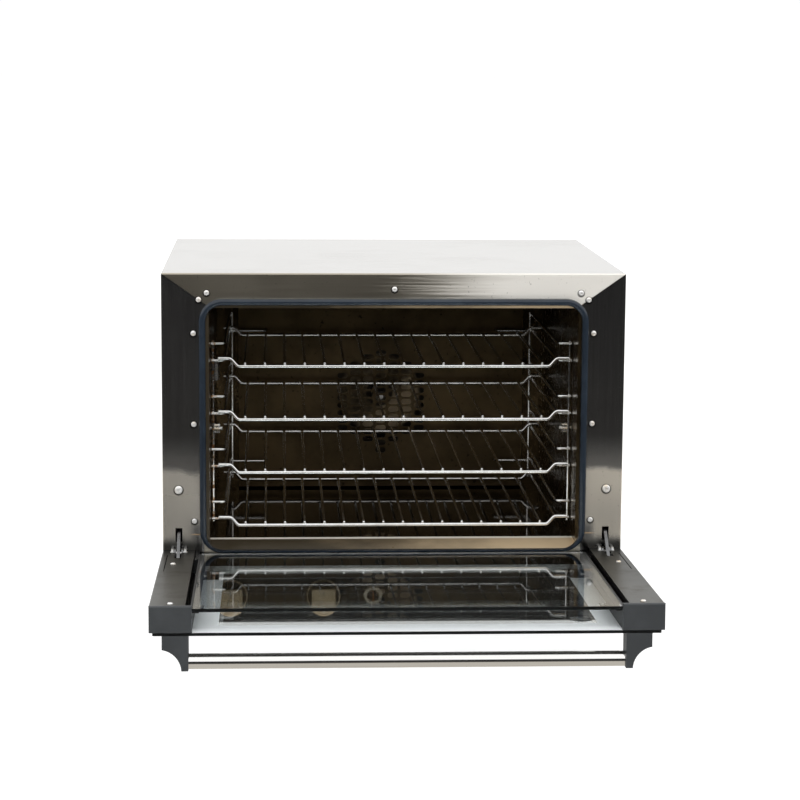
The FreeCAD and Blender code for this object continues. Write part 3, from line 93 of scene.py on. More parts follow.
ahead = Vector(
    (math.sin(YAW) * math.cos(TILT), math.cos(YAW) * math.cos(TILT), -math.sin(TILT))
)
level_right = Vector((math.cos(YAW), -math.sin(YAW), 0.0))
level_up = level_right.cross(ahead)
right = math.cos(ROLL) * level_right + math.sin(ROLL) * level_up
up = math.cos(ROLL) * level_up - math.sin(ROLL) * level_right
camera_data = bpy.data.cameras.new("photo_camera")
camera_data.sensor_width = SENSOR
camera_data.lens = FOCAL_PIXELS / IMAGE_PIXELS * SENSOR
camera_data.clip_end = 200.0
camera = bpy.data.objects.new("photo_camera", camera_data)
axes = Matrix((right, up, -ahead)).transposed().to_4x4()
camera.matrix_world = Matrix.Translation(CAMERA_PLACE) @ axes
bpy.context.scene.collection.objects.link(camera)
bpy.context.scene.camera = camera
print("lens", round(camera_data.lens, 2))

# %% [markdown]
# ## Shader arithmetic
# Finishes are easier to read as sums than as chains of boxes. `Flow` wraps one
# socket. Adding or multiplying two of them adds a Math node, and `node` adds any
# other kind: its settings first, then the values or links of its sockets.

# %% A socket that does arithmetic


class Flow:
    """A value on its way through a node tree."""

    def __init__(self, tree, socket=None):
        self.tree = tree
        self.socket = socket

    def node(self, kind, links=None, out=0, stops=None, **settings):
        made = self.tree.nodes.new("ShaderNode" + kind)
        for name, value in settings.items():
            setattr(made, name, value)
        if stops:
            ramp = made.color_ramp.elements
            ramp[0].position, ramp[0].color = stops[0]
            ramp[1].position, ramp[1].color = stops[-1]
            for place, colour in stops[1:-1]:
                ramp.new(place).color = colour
        for name, value in (links or {}).items():
            if isinstance(value, Flow):
                self.tree.links.new(value.socket, made.inputs[name])
            else:
                made.inputs[name].default_value = value
        return Flow(self.tree, made.outputs[out])

    def maths(self, operation, first, second=0.0):
        return self.node("Math", {0: first, 1: second}, operation=operation)

    def __add__(self, other):
        return self.maths("ADD", self, other)

    def __sub__(self, other):
        return self.maths("SUBTRACT", self, other)

    def __mul__(self, other):
        return self.maths("MULTIPLY", self, other)

    def __radd__(self, other):
        return self.maths("ADD", other, self)

    def __rsub__(self, other):
        return self.maths("SUBTRACT", other, self)

    def __rmul__(self, other):
        return self.maths("MULTIPLY", other, self)

    def root(self):
        return self.maths("SQRT", self)

    def __abs__(self):
        return self.maths("ABSOLUTE", self)

    def most(self, other):
        return self.maths("MAXIMUM", self, other)

    def fade(self, start, end):
        """0 before start, 1 after end, eased between them; start may be the larger."""
        if start < end:
            links = {"Value": self, "From Min": start, "From Max": end}
            return self.node("MapRange", links, interpolation_type="SMOOTHSTEP")
        return 1.0 - self.fade(end, start)

    def ramp(self, *stops):
        full = [(place, (*colour, 1.0)) for place, colour in stops]
        return self.node("ValToRGB", {"Fac": self}, stops=full)

    def tint(self, here, there):
        """Colour that goes from here, where this value is 0, to there, where it is 1."""
        links = {0: self}
        for index, colour in ((6, here), (7, there)):
            links[index] = colour if isinstance(colour, Flow) else (*colour, 1.0)
        return self.node("Mix", links, out=2, data_type="RGBA")

    def stretched(self, x, y, z):
        return self.node("VectorMath", {0: self, 1: (x, y, z)}, operation="MULTIPLY")

    def noise(self, scale, detail=3.0, roughness=0.55):
        links = {"Vector": self, "Scale": scale, "Detail": detail, "Roughness": roughness}
        return self.node("TexNoise", links)

    def cells(self, scale, **settings):
        return self.node("TexVoronoi", {"Vector": self, "Scale": scale}, **settings)

    def axis(self, letter):
        return self.node("SeparateXYZ", {0: self}, out=letter)

    def bump(self, strength, distance, over=None):
        """Normal raised by this height, on top of another normal if one is given."""
        links = {"Height": self, "Strength": strength, "Distance": distance}
        if over is not None:
            links["Normal"] = over
        return self.node("Bump", links)


print("Flow ready")

# %% [markdown]
# A finish starts from one Principled shader. What is the same all over is set on
# the shader's own sockets, and what varies is linked by `finish_off`. Patterns
# read Object coordinates, which here are the oven's own metres.

# %% Start and finish a material


def new_finish(name, **fixed):
    """Material with constant sockets set; returns it with its shader and coordinates."""
    material = bpy.data.materials.new(name)
    material.use_nodes = True
    shader = material.node_tree.nodes["Principled BSDF"]
    for socket, value in fixed.items():
        shader.inputs[socket.replace("_", " ")].default_value = value
    start = Flow(material.node_tree)
    place = start.node("TexCoord", out="Object")
    return material, shader, place


def finish_off(material, shader, **links):
    """Link flows to the shader's sockets."""
    for socket, flow in links.items():
        material.node_tree.links.new(flow.socket, shader.inputs[socket.replace("_", " ")])
    return material


def dress(material, *names):
    """Give loaded pieces this material."""
    for name in names:
        for slot in frame["nodes"][name].material_slots:
            slot.material = material
    print(material.name, "on", len(names), "pieces")


print("finish helpers ready")

# %% [markdown]
# ## Brushed sheet
# Stainless sheet is ground with a belt, which leaves long fine scratches in one
# direction. A noise stretched along the scratches drives roughness, a little colour
# and a shallow bump, so highlights smear across the grain as they do on real sheet.

# %% Brushed sheet
ALONG, ACROSS, FINER = 5.0, 420.0, 3.1
GRAIN = {
    "X": (ALONG, ACROSS, ACROSS), "Y": (ACROSS, ALONG, ACROSS), "Z": (ACROSS, ACROSS, ALONG)
}


def grain_of(place, along):
    """Scratches along one axis, from 0 to 1."""
    coarse = place.stretched(*GRAIN[along]).noise(1.0, 4.0, 0.65)
    fine = place.stretched(*[FINER * s for s in GRAIN[along]]).noise(1.0, 2.0, 0.6)
    return coarse * 0.6 + fine * 0.4


def brushed(name, along, dark, light, smooth, rough, depth=0.25):
    """Plain brushed metal with hand marks."""
    material, shader, place = new_finish(name, Metallic=1.0)
    grain = grain_of(place, along)
    smears = place.noise(9.0, 4.0, 0.6).fade(0.42, 0.72)
    colour = grain.fade(0.2, 0.8).tint(dark, light)
    roughness = grain * (rough - smooth) + smooth + smears * 0.06
    return finish_off(
        material, shader, Base_Color=colour, Roughness=roughness,
        Normal=grain.bump(depth, 0.0004),
    )


rail_steel = brushed("rail_steel", "X", (0.36, 0.33, 0.27), (0.56, 0.52, 0.44), 0.2, 0.34)
dress(rail_steel, "lower_front_rail")
bar_steel = brushed("bar_steel", "X", (0.84, 0.83, 0.81), (0.92, 0.91, 0.89), 0.05, 0.10, 0.04)
dress(bar_steel, "handle_bar")
pipe_steel = brushed("pipe_steel", "Y", (0.45, 0.44, 0.42), (0.66, 0.65, 0.63), 0.25, 0.42)
dress(pipe_steel, "steam_vent_pipe", "fan_shaft")

# %% [markdown]
# The door's side profiles are brushed along their length. Their colour is painted
# darker near the hinge and paler towards the handle: painted shade and painted
# reflection along the way to the front, with grease smudges on top. The rail between
# the panes is near black above a pale lower strip.

# %% Door profiles and rail
PALE_STRIP_TOP = 85.6 * MM

profile_steel, shader, place = new_finish(
    "profile_steel", Metallic=1.0, Specular_Tint=(0.64, 0.64, 0.63, 1.0)
)
grain = grain_of(place, "Y")
smears = place.noise(14.0, 4.0, 0.6)
# Painted shade near the hinge and painted reflection towards the front: darker to paler along
# the profile.
to_front = (place.axis("Y") + (smears - 0.5) * 0.1).fade(front_y - 0.08, front_y - 0.34)
hinge_shade_steel = grain.fade(0.2, 0.8).tint((0.060, 0.060, 0.058), (0.115, 0.113, 0.108))
pale_steel = grain.fade(0.2, 0.8).tint((0.125, 0.123, 0.117), (0.21, 0.206, 0.195))
grease = place.noise(19.0, 4.0, 0.6).fade(0.46, 0.80)
steel = (grease * 0.6).tint(to_front.tint(hinge_shade_steel, pale_steel), (0.070, 0.054, 0.034))
finish_off(
    profile_steel, shader, Base_Color=steel,
    Roughness=0.22 + grain * 0.14 + smears * 0.06 + grease * 0.1,
    Normal=grain.bump(0.25, 0.0004),
)
dress(profile_steel, "left_door_profile", "right_door_profile")

door_rail, shader, place = new_finish("door_rail", Metallic=0.3)
grain = grain_of(place, "X")
# Near black above a pale lower strip.
strip = place.axis("Z").fade(PALE_STRIP_TOP + 0.3 * MM, PALE_STRIP_TOP - 0.3 * MM)
pale_steel = grain.tint((0.56, 0.58, 0.58), (0.78, 0.80, 0.80))
finish_off(
    door_rail, shader, Base_Color=strip.tint((0.014, 0.013, 0.012), pale_steel),
    Roughness=0.34 + grain * 0.16, Normal=grain.bump(0.15, 0.0004),
)
dress(door_rail, "door_bottom_rail")

# %% [markdown]
# ## Outer casing
# The casing is one sheet folded over the top and sides and screwed on at the front.
# A painted shadow rings every screw head, so the screws' places are measured first.
# All screws are one mesh, and points that hang together by edges are one screw.

# %% Screw places


def loose_shapes(node):
    """Middle and radius of each separate shape of a loaded piece."""
    bm = bmesh.new()
    bm.from_mesh(frame["nodes"][node].data)
    bmesh.ops.remove_doubles(bm, verts=bm.verts, dist=0.001 * MM)
    waiting = set(bm.verts)
    found = []
    while waiting:
        shape, open_ends = [], [waiting.pop()]
        while open_ends:
            vertex = open_ends.pop()
            shape.append(vertex.co)
            joined = {edge.other_vert(vertex) for edge in vertex.link_edges} & waiting
            waiting -= joined
            open_ends.extend(joined)
        low = Vector([min(p[i] for p in shape) for i in range(3)])
        high = Vector([max(p[i] for p in shape) for i in range(3)])
        found.append((tuple((low + high) / 2.0), (high.x - low.x) / 2.0))
    bm.free()
    return sorted(found)


frame_screws = loose_shapes("front_frame_screws")
print("frame screws", len(frame_screws))

# %% [markdown]
# The flanges are turned in at the front and mitred at the corners. The scratches
# follow each strip: along the top strip, up the side strips and back along the
# panels. The mitre line shows only because the grain changes there. It runs from the
# outer corner to the frame opening, and the sign of a plane tells the strips apart.
#
# Low down, the side strips are painted paler, duller and less metallic: a painted
# reflection of the pale ground, stronger higher up and to the right. It ends above the
# hinge, sooner near the gasket, where a thin amber line runs. Above the hinge and round
# every screw head the steel is painted dark as shade. The top strip is painted a darker
# brown as a dark reflection, with a painted highlight towards the right.

# %% Outer casing
TOP_STRIP_MM, SIDE_STRIP_MM = 38.0, 54.0
FACE_FROM, FACE_FULL = 2.4 * MM, 1.2 * MM
LOW_REFLECTION_TOP, LOW_REFLECTION_INNER_END, LOW_REFLECTION_OUTER_END = 214.0 * MM, 144.0 * MM, 123.0 * MM
LOW_REFLECTION_WEAK, LOW_REFLECTION_STRONG = 150.0 * MM, 205.0 * MM
LOW_REFLECTION_BLUR, HAZE_REACH = 8 * MM, 50 * MM
GASKET_SIDE_FROM, GASKET_SIDE_FULL = 268 * MM, 256 * MM
AMBER_LINE = 130.5 * MM
SHADOW_REACH, SHADOW_CORE, SHADOW_DROP = 2.4 * MM, 0.4 * MM, 0.8 * MM
HINGE_SHADE_TOP, HINGE_SHADE_END = (126 * MM, 114 * MM), (100 * MM, 108 * MM)

casing_steel, shader, place = new_finish("casing_steel")
across, back, height = (place.axis(letter) for letter in "XYZ")
on_front = back.fade(front_y + FACE_FROM, front_y + FACE_FULL)
on_top = height.fade(top_z - FACE_FROM, top_z - FACE_FULL)
strip = (half_width - abs(across)) * (TOP_STRIP_MM / SIDE_STRIP_MM) - (top_z - height)
top_strip = strip.fade(-0.2 * MM, 0.2 * MM)
front_top = on_front * top_strip
front_side = on_front * (1.0 - top_strip)
lengthways = front_top.most(on_top)
rest = 1.0 - lengthways.most(front_side)
grain_x, grain_y, grain_z = (grain_of(place, along) for along in "XYZ")
grain = grain_x * lengthways + grain_z * front_side + grain_y * rest
# Painted highlight: the top strip is painted pale towards the right.
painted_top_highlight = front_top * (across + (grain_x - 0.5) * 0.30).fade(-0.02, 0.16)
wobble = (place.noise(26.0, 3.0, 0.5) - 0.5) * 0.024
# Painted reflection: the low side strips are painted paler and less metallic, stronger higher up
# and to the right, ending above the hinge and sooner near the gasket.
edge = (height + wobble).fade(LOW_REFLECTION_TOP + 6 * MM, LOW_REFLECTION_TOP - 5 * MM)
haze = height.fade(LOW_REFLECTION_TOP + HAZE_REACH, LOW_REFLECTION_TOP)
by_gasket = abs(across).fade(GASKET_SIDE_FROM, GASKET_SIDE_FULL)
inner_end = height.fade(LOW_REFLECTION_INNER_END - LOW_REFLECTION_BLUR, LOW_REFLECTION_INNER_END + LOW_REFLECTION_BLUR)
outer_end = height.fade(LOW_REFLECTION_OUTER_END - LOW_REFLECTION_BLUR, LOW_REFLECTION_OUTER_END + LOW_REFLECTION_BLUR)
low_end = by_gasket * inner_end + (1.0 - by_gasket) * outer_end
higher_up = 0.80 + height.fade(LOW_REFLECTION_WEAK, LOW_REFLECTION_STRONG) * 0.20
to_right = 0.74 + across.fade(-0.1, 0.1) * 0.32
reflection_strength = higher_up * to_right
painted_low_reflection = front_side * (edge * 0.74 + haze * 0.26) * low_end * reflection_strength
amber = front_side * by_gasket * abs(height - AMBER_LINE).fade(1.4 * MM, 0.4 * MM)
# Painted shade above the hinge and a painted shadow round each screw head, set a little below
# it.
above_hinge = front_side * height.fade(*HINGE_SHADE_TOP) * height.fade(*HINGE_SHADE_END)
painted_shade = above_hinge * 0.8
for middle, radius in frame_screws:
    off_x, off_z = across - middle[0], height - (middle[2] - SHADOW_DROP)
    gap = (off_x * off_x + off_z * off_z).root()
    halo = gap.fade(radius + SHADOW_REACH, radius + SHADOW_CORE)
    painted_shade = painted_shade.most(halo * on_front)
hand_marks = place.noise(7.0, 4.0, 0.6).fade(0.45, 0.75)
specks = place.noise(260.0, 2.0, 0.5).fade(0.68, 0.76) * on_front
steel = grain.fade(0.2, 0.8).tint((0.50, 0.49, 0.47), (0.66, 0.65, 0.63))
# Painted dark reflection: the top strip is painted a darker brown.
steel = (front_top * 0.8).tint(steel, (0.45, 0.40, 0.305))
steel = painted_top_highlight.tint(steel, (0.93, 0.90, 0.84))
steel = (painted_low_reflection * 0.9).tint(steel, (0.82, 0.75, 0.63))
steel = (amber * 0.8).tint(steel, (0.90, 0.62, 0.34))
steel = (painted_shade * 0.9).tint(steel, (0.030, 0.028, 0.025))
steel = (specks * 0.4).tint(steel, (0.14, 0.12, 0.09))
roughness = (
    0.24 - front_side * 0.11 + front_top * 0.06 + painted_top_highlight * 0.26 + painted_low_reflection * 0.08
    + (grain - 0.5) * 0.14 + hand_marks * 0.04
)
dents = place.noise(15.0, 1.0, 0.4).bump(0.25, 0.0012)
finish_off(
    casing_steel, shader, Base_Color=steel, Roughness=roughness,
    Metallic=1.0 - painted_top_highlight * 0.42 - painted_low_reflection * 0.38 - amber * 0.3,
    Normal=grain.bump(0.16, 0.0004, dents),
)
dress(casing_steel, "outer_casing")

# %% [markdown]
# ## Chamber
# The chamber sheet has been hot many times: it is brown, with darker baked-on
# patches, and smooth on the floor. Overhead and on the floor it is painted near black:
# painted shade under the ceiling and a painted dark reflection on the floor. It is clean
# only at its very edge and on the sill, which slopes down to the mouth and is wiped
# often; there the colour is painted from dark at the left to bright tan at the right,
# a painted light. On the right the edge above the sill is coloured like the inside.
# Height and the depth behind the front plane tell these places apart, and the fold
# where the sill starts has a painted highlight, a bright line.

# %% Chamber sheet
SILL_TOP, SILL_RUN = 118.0 * MM, 38.0 * MM
CEILING = top_z - 45.0 * MM
CLEAN_DEPTH = 6.0 * MM
FOLD_FROM, FOLD_FULL = 6.0 * MM, 4.5 * MM
DARK_EDGE_FROM, DARK_EDGE_FULL = 200 * MM, 225 * MM


def burnt_sheet(name, burnt, soot, smooth):
    """Sheet that is clean at the mouth and on the sill and browned further in."""
    material, shader, place = new_finish(name)
    across, height = place.axis("X"), place.axis("Z")
    depth = place.axis("Y") - front_y
    on_sill = height.fade(SILL_TOP + 0.6 * MM, SILL_TOP + 0.3 * MM)
    on_sill = on_sill * depth.fade(SILL_RUN + 0.9 * MM, SILL_RUN + 0.4 * MM)
    fold = on_sill * depth.fade(SILL_RUN - FOLD_FROM, SILL_RUN - FOLD_FULL)
    overhead = height.fade(CEILING - 1.5 * MM, CEILING - 0.5 * MM)
    on_floor = height.fade(SILL_TOP + 1.2 * MM, SILL_TOP + 0.4 * MM) * (1.0 - on_sill)
    # On the right, the mouth edge above the sill is coloured like the inside.
    dark_right_edge = across.fade(DARK_EDGE_FROM, DARK_EDGE_FULL)
    dark_right_edge = dark_right_edge * height.fade(SILL_TOP + 2 * MM, SILL_TOP + 8 * MM)
    patches = place.noise(11.0, 5.0, 0.6)
    inside = depth.fade(0.6 * CLEAN_DEPTH, CLEAN_DEPTH).most(dark_right_edge * (1.0 - overhead))
    inside = inside * (1.0 - on_sill)
    # Painted light: the clean edge and sill are painted dark at the left and bright tan at the
    # right.
    painted_light_to_right = (across + (patches - 0.5) * 0.3).fade(-0.14, 0.22)
    clean = painted_light_to_right.tint((0.070, 0.055, 0.034), (0.74, 0.57, 0.36))
    # Painted highlight: a bright line along the fold.
    clean = fold.tint(clean, (0.95, 0.90, 0.80))
    brown = patches.fade(0.35, 0.65).tint(burnt, soot)
    # Painted shade overhead and a painted dark reflection on the floor: both near black.
    brown = (overhead.most(on_floor) * 0.75).tint(brown, (0.018, 0.012, 0.006))
    spatter = place.noise(120.0, 3.0, 0.6).fade(0.62, 0.74) * inside * (1.0 - on_floor * 0.8)
    colour = (spatter * 0.6).tint(inside.tint(clean, brown), (0.012, 0.008, 0.004))
    grain = grain_of(place, "X") * (1.0 - on_floor * 0.8)
    roughness = (
        smooth + inside * 0.04 + on_sill * 0.10 - on_floor * 0.16 + grain * 0.08 + spatter * 0.2
    )
    return finish_off(
        material, shader, Base_Color=colour, Roughness=roughness, Metallic=0.35 + inside * 0.55,
        Normal=(grain * 0.15 + spatter * 0.4).bump(0.06, 0.0004),
    )


chamber_steel = burnt_sheet(
    "chamber_steel", (0.130, 0.089, 0.042), (0.068, 0.046, 0.022), 0.16
)
dress(chamber_steel, "chamber_liner", "chamber_back_plate")
guard_steel = burnt_sheet(
    "guard_steel", (0.106, 0.073, 0.035), (0.062, 0.043, 0.021), 0.36
)
dress(guard_steel, "fan_guard")

# %% [markdown]
# ## Chromed wire
# Shelves and racks are chromed wire. Chrome is a mirror, so the finish is nearly
# smooth, with faint drawn lines. Where the racks were spot welded near the front
# uprights the heat turned the chrome straw and brown, so a mask near the walls and
# the front mixes those tints in.

# %% Chromed wire
rack_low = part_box("left_side_rack")[0]

chrome_wire, shader, place = new_finish("chrome_wire", Metallic=1.0)
across, back = place.axis("X"), place.axis("Y")
near_wall = abs(across).fade(-rack_low.x - 11 * MM, -rack_low.x - 5 * MM)
near_front = back.fade(rack_low.y + 16 * MM, rack_low.y + 7 * MM)
blots = place.noise(170.0, 3.0, 0.6)
heat = near_wall * near_front * blots.fade(0.45, 0.62) * across.fade(0.30, -0.25)
straw = blots.ramp(
    (0.40, (0.78, 0.77, 0.75)), (0.52, (0.62, 0.36, 0.12)), (0.66, (0.22, 0.10, 0.05))
)
film = place.noise(60.0, 3.0, 0.6)
chrome = film.fade(0.3, 0.7).tint((0.80, 0.79, 0.77), (0.93, 0.93, 0.92))
finish_off(
    chrome_wire, shader, Base_Color=heat.tint(chrome, straw),
    Roughness=0.08 + film * 0.12 + heat * 0.2,
    Normal=place.noise(420.0, 2.0, 0.5).bump(0.08, 0.0003),
)
dress(
    chrome_wire, "left_side_rack", "right_side_rack",
    "wire_shelf_1", "wire_shelf_2", "wire_shelf_3", "wire_shelf_4",
)

# %% [markdown]
# ## Bright small metal
# Pins, rivets, nuts, spindles and the probe sleeve are plated steel: bright, with tiny
# pits and a warm film where hands and heat reach them. The screws are zinc plated, which
# is whiter and less of a mirror, so part of their brightness is plain scattered light.

# %% Bright small metal
bright_steel, shader, place = new_finish("bright_steel", Metallic=1.0)
pits = place.noise(500.0, 3.0, 0.6)
film = place.noise(90.0, 2.0, 0.5).fade(0.45, 0.7)
finish_off(
    bright_steel, shader,
    Base_Color=film.tint((0.78, 0.77, 0.75), (0.60, 0.52, 0.40)),
    Roughness=0.16 + pits * 0.2, Normal=pits.bump(0.1, 0.0002),
)
dress(
    bright_steel, "hinge_pins", "arm_rivets", "rack_fasteners", "probe_sleeve",
    "timer_spindle", "thermostat_spindle",
)

zinc_screw, shader, place = new_finish("zinc_screw", Metallic=0.5)
pits = place.noise(500.0, 3.0, 0.6)
film = place.noise(90.0, 2.0, 0.5).fade(0.5, 0.75)
finish_off(
    zinc_screw, shader,
    Base_Color=film.tint((0.95, 0.94, 0.92), (0.80, 0.70, 0.55)),
    Roughness=0.14 + pits * 0.18, Normal=pits.bump(0.08, 0.0002),
)
dress(zinc_screw, "front_frame_screws", "door_screws", "back_cover_screws")

# %% [markdown]
# ## Plated sheet
# Hidden sheet is zinc plated. Zinc freezes in flat crystals, which show as pale
# and dark patches with straight borders, so a cell pattern colours them.

# %% Plated sheet
plated_sheet, shader, place = new_finish("plated_sheet", Metallic=1.0)
crystal = place.cells(150.0, out="Color").axis("X")
haze = place.noise(14.0, 4.0, 0.6)
finish_off(
    plated_sheet, shader,
    Base_Color=(crystal * 0.6 + haze * 0.4).tint((0.47, 0.48, 0.48), (0.64, 0.64, 0.63)),
    Roughness=0.30 + crystal * 0.14 + haze * 0.1,
    Normal=crystal.bump(0.06, 0.0003),
)
dress(
    plated_sheet, "base_pan", "back_cover", "motor_mounting_plate",
    "left_hinge_bracket", "right_hinge_bracket",
)
# The stay arms and hinge leaves are brushed steel painted dark grey: painted shade.
arm_steel = brushed("arm_steel", "Y", (0.13, 0.13, 0.135), (0.27, 0.275, 0.28), 0.12, 0.24)
dress(arm_steel, "left_stay_arm", "right_stay_arm", "left_hinge_leaf", "right_hinge_leaf")

# %% [markdown]
# ## Fan, heaters and motor
# They are seen only through the slots of the guard. The wheel is pale pressed
# sheet, painted dark brown as the shade behind the slots, darker still at the rim and
# round the hub, with a lower right quarter left pale as painted light. The heater tubes
# are black with oxide, and the motor can is painted. The wool round the chamber is
# matted fibre, so its noise is squeezed in one direction.

# %% Fan, heaters and motor
fan_axis = joint_place("fan_spin")

fan_metal, shader, place = new_finish("fan_metal", Metallic=0.9)
off_x, off_z = place.axis("X") - fan_axis.x, place.axis("Z") - fan_axis.z
reach = (off_x * off_x + off_z * off_z).root()
# Darker at the rim and round the hub.
dark_rim_and_hub = reach.fade(54 * MM, 62 * MM).most(reach.fade(21 * MM, 18 * MM))
stain = place.noise(45.0, 4.0, 0.6)
# Painted shade: the wheel is painted dark brown, and a lower right quarter stays pale as painted
# light.
sheet = stain.fade(0.35, 0.7).tint((0.15, 0.115, 0.072), (0.055, 0.040, 0.022))
lit_quarter = (off_x - off_z + (stain - 0.5) * 0.06).fade(0.006, 0.034)
sheet = lit_quarter.tint(sheet, (0.46, 0.36, 0.235))
finish_off(
    fan_metal, shader, Base_Color=dark_rim_and_hub.tint(sheet, (0.030, 0.024, 0.017)),
    Roughness=0.34 + stain * 0.2, Normal=stain.bump(0.15, 0.0004),
)
dress(fan_metal, "fan_wheel")

oxide_tube, shader, place = new_finish("oxide_tube", Metallic=0.7)
scale = place.noise(240.0, 4.0, 0.6)
finish_off(
    oxide_tube, shader,
    Base_Color=scale.fade(0.3, 0.7).tint((0.045, 0.042, 0.040), (0.16, 0.14, 0.12)),
    Roughness=0.45 + scale * 0.25, Normal=scale.bump(0.25, 0.0003),
)
dress(oxide_tube, "heating_elements", "fan_nut")

motor_paint, shader, place = new_finish("motor_paint", Coat_Weight=0.3)
peel = place.noise(320.0, 2.0, 0.5)
finish_off(
    motor_paint, shader,
    Base_Color=place.noise(20.0, 3.0, 0.5).tint((0.016, 0.016, 0.018), (0.035, 0.035, 0.037)),
    Roughness=0.38 + peel * 0.15, Normal=peel.bump(0.12, 0.0003),
)
dress(motor_paint, "fan_motor")

mineral_wool, shader, place = new_finish("mineral_wool")
fibres = place.stretched(1.0, 1.0, 7.0).noise(130.0, 6.0, 0.75)
finish_off(
    mineral_wool, shader,
    Base_Color=fibres.fade(0.25, 0.75).tint((0.40, 0.33, 0.17), (0.74, 0.66, 0.44)),
    Roughness=0.85 + fibres * 0.15, Normal=fibres.bump(0.9, 0.002),
)
dress(mineral_wool, "insulation")

# %% [markdown]
# ## Plastic and rubber
# Moulded caps and brackets have a fine spark texture: a tiny bump, a broad sheen
# and slightly paler, smoother patches where they are touched. The gasket is smooth
# silicone, dusty in places.

# %% Plastic and rubber


def moulded(name, dark, light, rough, bump, grain_size):
    """Moulded piece with a spark texture and faint handling marks."""
    material, shader, place = new_finish(name)
    spark = place.noise(grain_size, 2.0, 0.5)
    marks = place.noise(16.0, 4.0, 0.6).fade(0.4, 0.75)
    return finish_off(
        material, shader, Base_Color=(marks * 0.6 + spark * 0.4).tint(dark, light),
        Roughness=rough + spark * 0.12 - marks * 0.06, Normal=spark.bump(bump, 0.0002),
    )


dress(
    moulded("cap_plastic", (0.028, 0.031, 0.034), (0.052, 0.057, 0.060), 0.42, 0.25, 900.0),
    "left_end_cap", "right_end_cap", "left_handle_bracket", "right_handle_bracket",
)
dress(
    moulded("rail_black", (0.012, 0.012, 0.013), (0.028, 0.028, 0.030), 0.40, 0.2, 700.0),
    "left_glass_rail", "right_glass_rail", "terminal_block", "cable_gland",
    "timer_body", "thermostat_body",
)
dress(
    moulded("foot_rubber", (0.010, 0.010, 0.010), (0.030, 0.029, 0.028), 0.62, 0.3, 500.0),
    "feet",
)
dress(
    moulded("gasket_silicone", (0.011, 0.017, 0.026), (0.026, 0.036, 0.050), 0.13, 0.05, 300.0),
    "door_gasket",
)
dress(
    moulded("panel_black", (0.027, 0.029, 0.029), (0.043, 0.045, 0.045), 0.30, 0.08, 600.0),
    "control_panel",
)

# %% [markdown]
# ## Knobs and pilot lamp
# A knob is moulded black. The face of its grip and the rim of its skirt are painted a
# warm satin tan: a painted reflection of the pale ground on the face and a painted
# highlight on the rim. Distance from the knob's axis finds the rim, and depth behind the
# knob's front finds the face. The lamp has a bright ring round a dark lens, with the
# filament's warm line in the middle.

# %% Knobs and pilot lamp
KNOB_RIM, GRIP_FACE = 20.2 * MM, 2.4 * MM


def knob_finish(knob):
    """Black moulding with a painted reflection on the grip and a painted highlight on the rim.
    """
    low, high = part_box(knob)
    centre = (low + high) / 2.0
    material, shader, place = new_finish(knob + "_finish", Coat_Roughness=0.2)
    off_x, off_z = place.axis("X") - centre.x, place.axis("Z") - centre.z
    # Painted reflection on the grip's face and a painted highlight on the rim, both warm tan.
    rim = (off_x * off_x + off_z * off_z).root().fade(KNOB_RIM, KNOB_RIM + 0.5 * MM)
    grip = place.axis("Y").fade(low.y + GRIP_FACE, low.y + GRIP_FACE - 0.4 * MM)
    painted_reflection = grip.most(rim)
    grit = place.noise(900.0, 2.0, 0.5)
    wear = place.noise(60.0, 4.0, 0.6).fade(0.4, 0.75)
    warm = wear.tint((0.82, 0.65, 0.43), (0.66, 0.52, 0.345))
    return finish_off(
        material, shader, Base_Color=painted_reflection.tint((0.030, 0.028, 0.025), warm),
        Roughness=0.30 + grit * 0.12 - wear * 0.05, Metallic=painted_reflection * 0.35,
        Coat_Weight=painted_reflection * 0.3, Normal=grit.bump(0.06, 0.0002),
    )


for knob in ("timer_knob", "thermostat_knob"):
    dress(knob_finish(knob), knob)

lamp_low, lamp_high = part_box("pilot_lamp")
lamp_centre = (lamp_low + lamp_high) / 2.0
lamp_lens, shader, place = new_finish("lamp_lens", Coat_Weight=0.4)
filament = abs(place.axis("X") - lamp_centre.x).fade(0.9 * MM, 0.4 * MM)
ribs = place.noise(400.0, 2.0, 0.5)
dark_lens = ribs.tint((0.020, 0.016, 0.016), (0.036, 0.028, 0.026))
finish_off(
    lamp_lens, shader, Base_Color=filament.tint(dark_lens, (0.42, 0.17, 0.05)),
    Roughness=0.10 + ribs * 0.1, Normal=ribs.bump(0.05, 0.0002),
)
dress(lamp_lens, "pilot_lamp")

lamp_ring, shader, place = new_finish("lamp_ring", Metallic=0.4)
film = place.noise(160.0, 3.0, 0.6)
finish_off(
    lamp_ring, shader,
    Base_Color=film.fade(0.3, 0.7).tint((0.82, 0.70, 0.53), (0.95, 0.88, 0.76)),
    Roughness=0.18 + film * 0.16, Normal=film.bump(0.08, 0.0002),
)
dress(lamp_ring, "pilot_lamp_bezel")

# %% [markdown]
# ## Door glass
# Both panes are clear tempered glass. Their ground edges look nearly black, because
# light leaves them sideways, so the colour goes dark close to the outline. The pane
# is a real slab, and transmission with its true index bends and reflects the view.

# %% Door glass
EDGE_FROM, EDGE_FULL = 0.9 * MM, 0.4 * MM


def pane_glass(name, node):
    """Clear pane with dark ground edges."""
    low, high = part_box(node)
    material, shader, place = new_finish(name, Transmission_Weight=1.0, IOR=1.5)
    across, back = place.axis("X"), place.axis("Y")
    side_edge = abs(across).fade(high.x - EDGE_FROM, high.x - EDGE_FULL)
    front_edge = back.fade(low.y + EDGE_FROM, low.y + EDGE_FULL)
    rim = side_edge.most(front_edge)
    dust = place.noise(30.0, 5.0, 0.65).fade(0.55, 0.8)
    return finish_off(
        material, shader, Base_Color=rim.tint((0.93, 0.96, 0.955), (0.02, 0.03, 0.03)),
        Roughness=dust * 0.03 + rim * 0.3,
    )


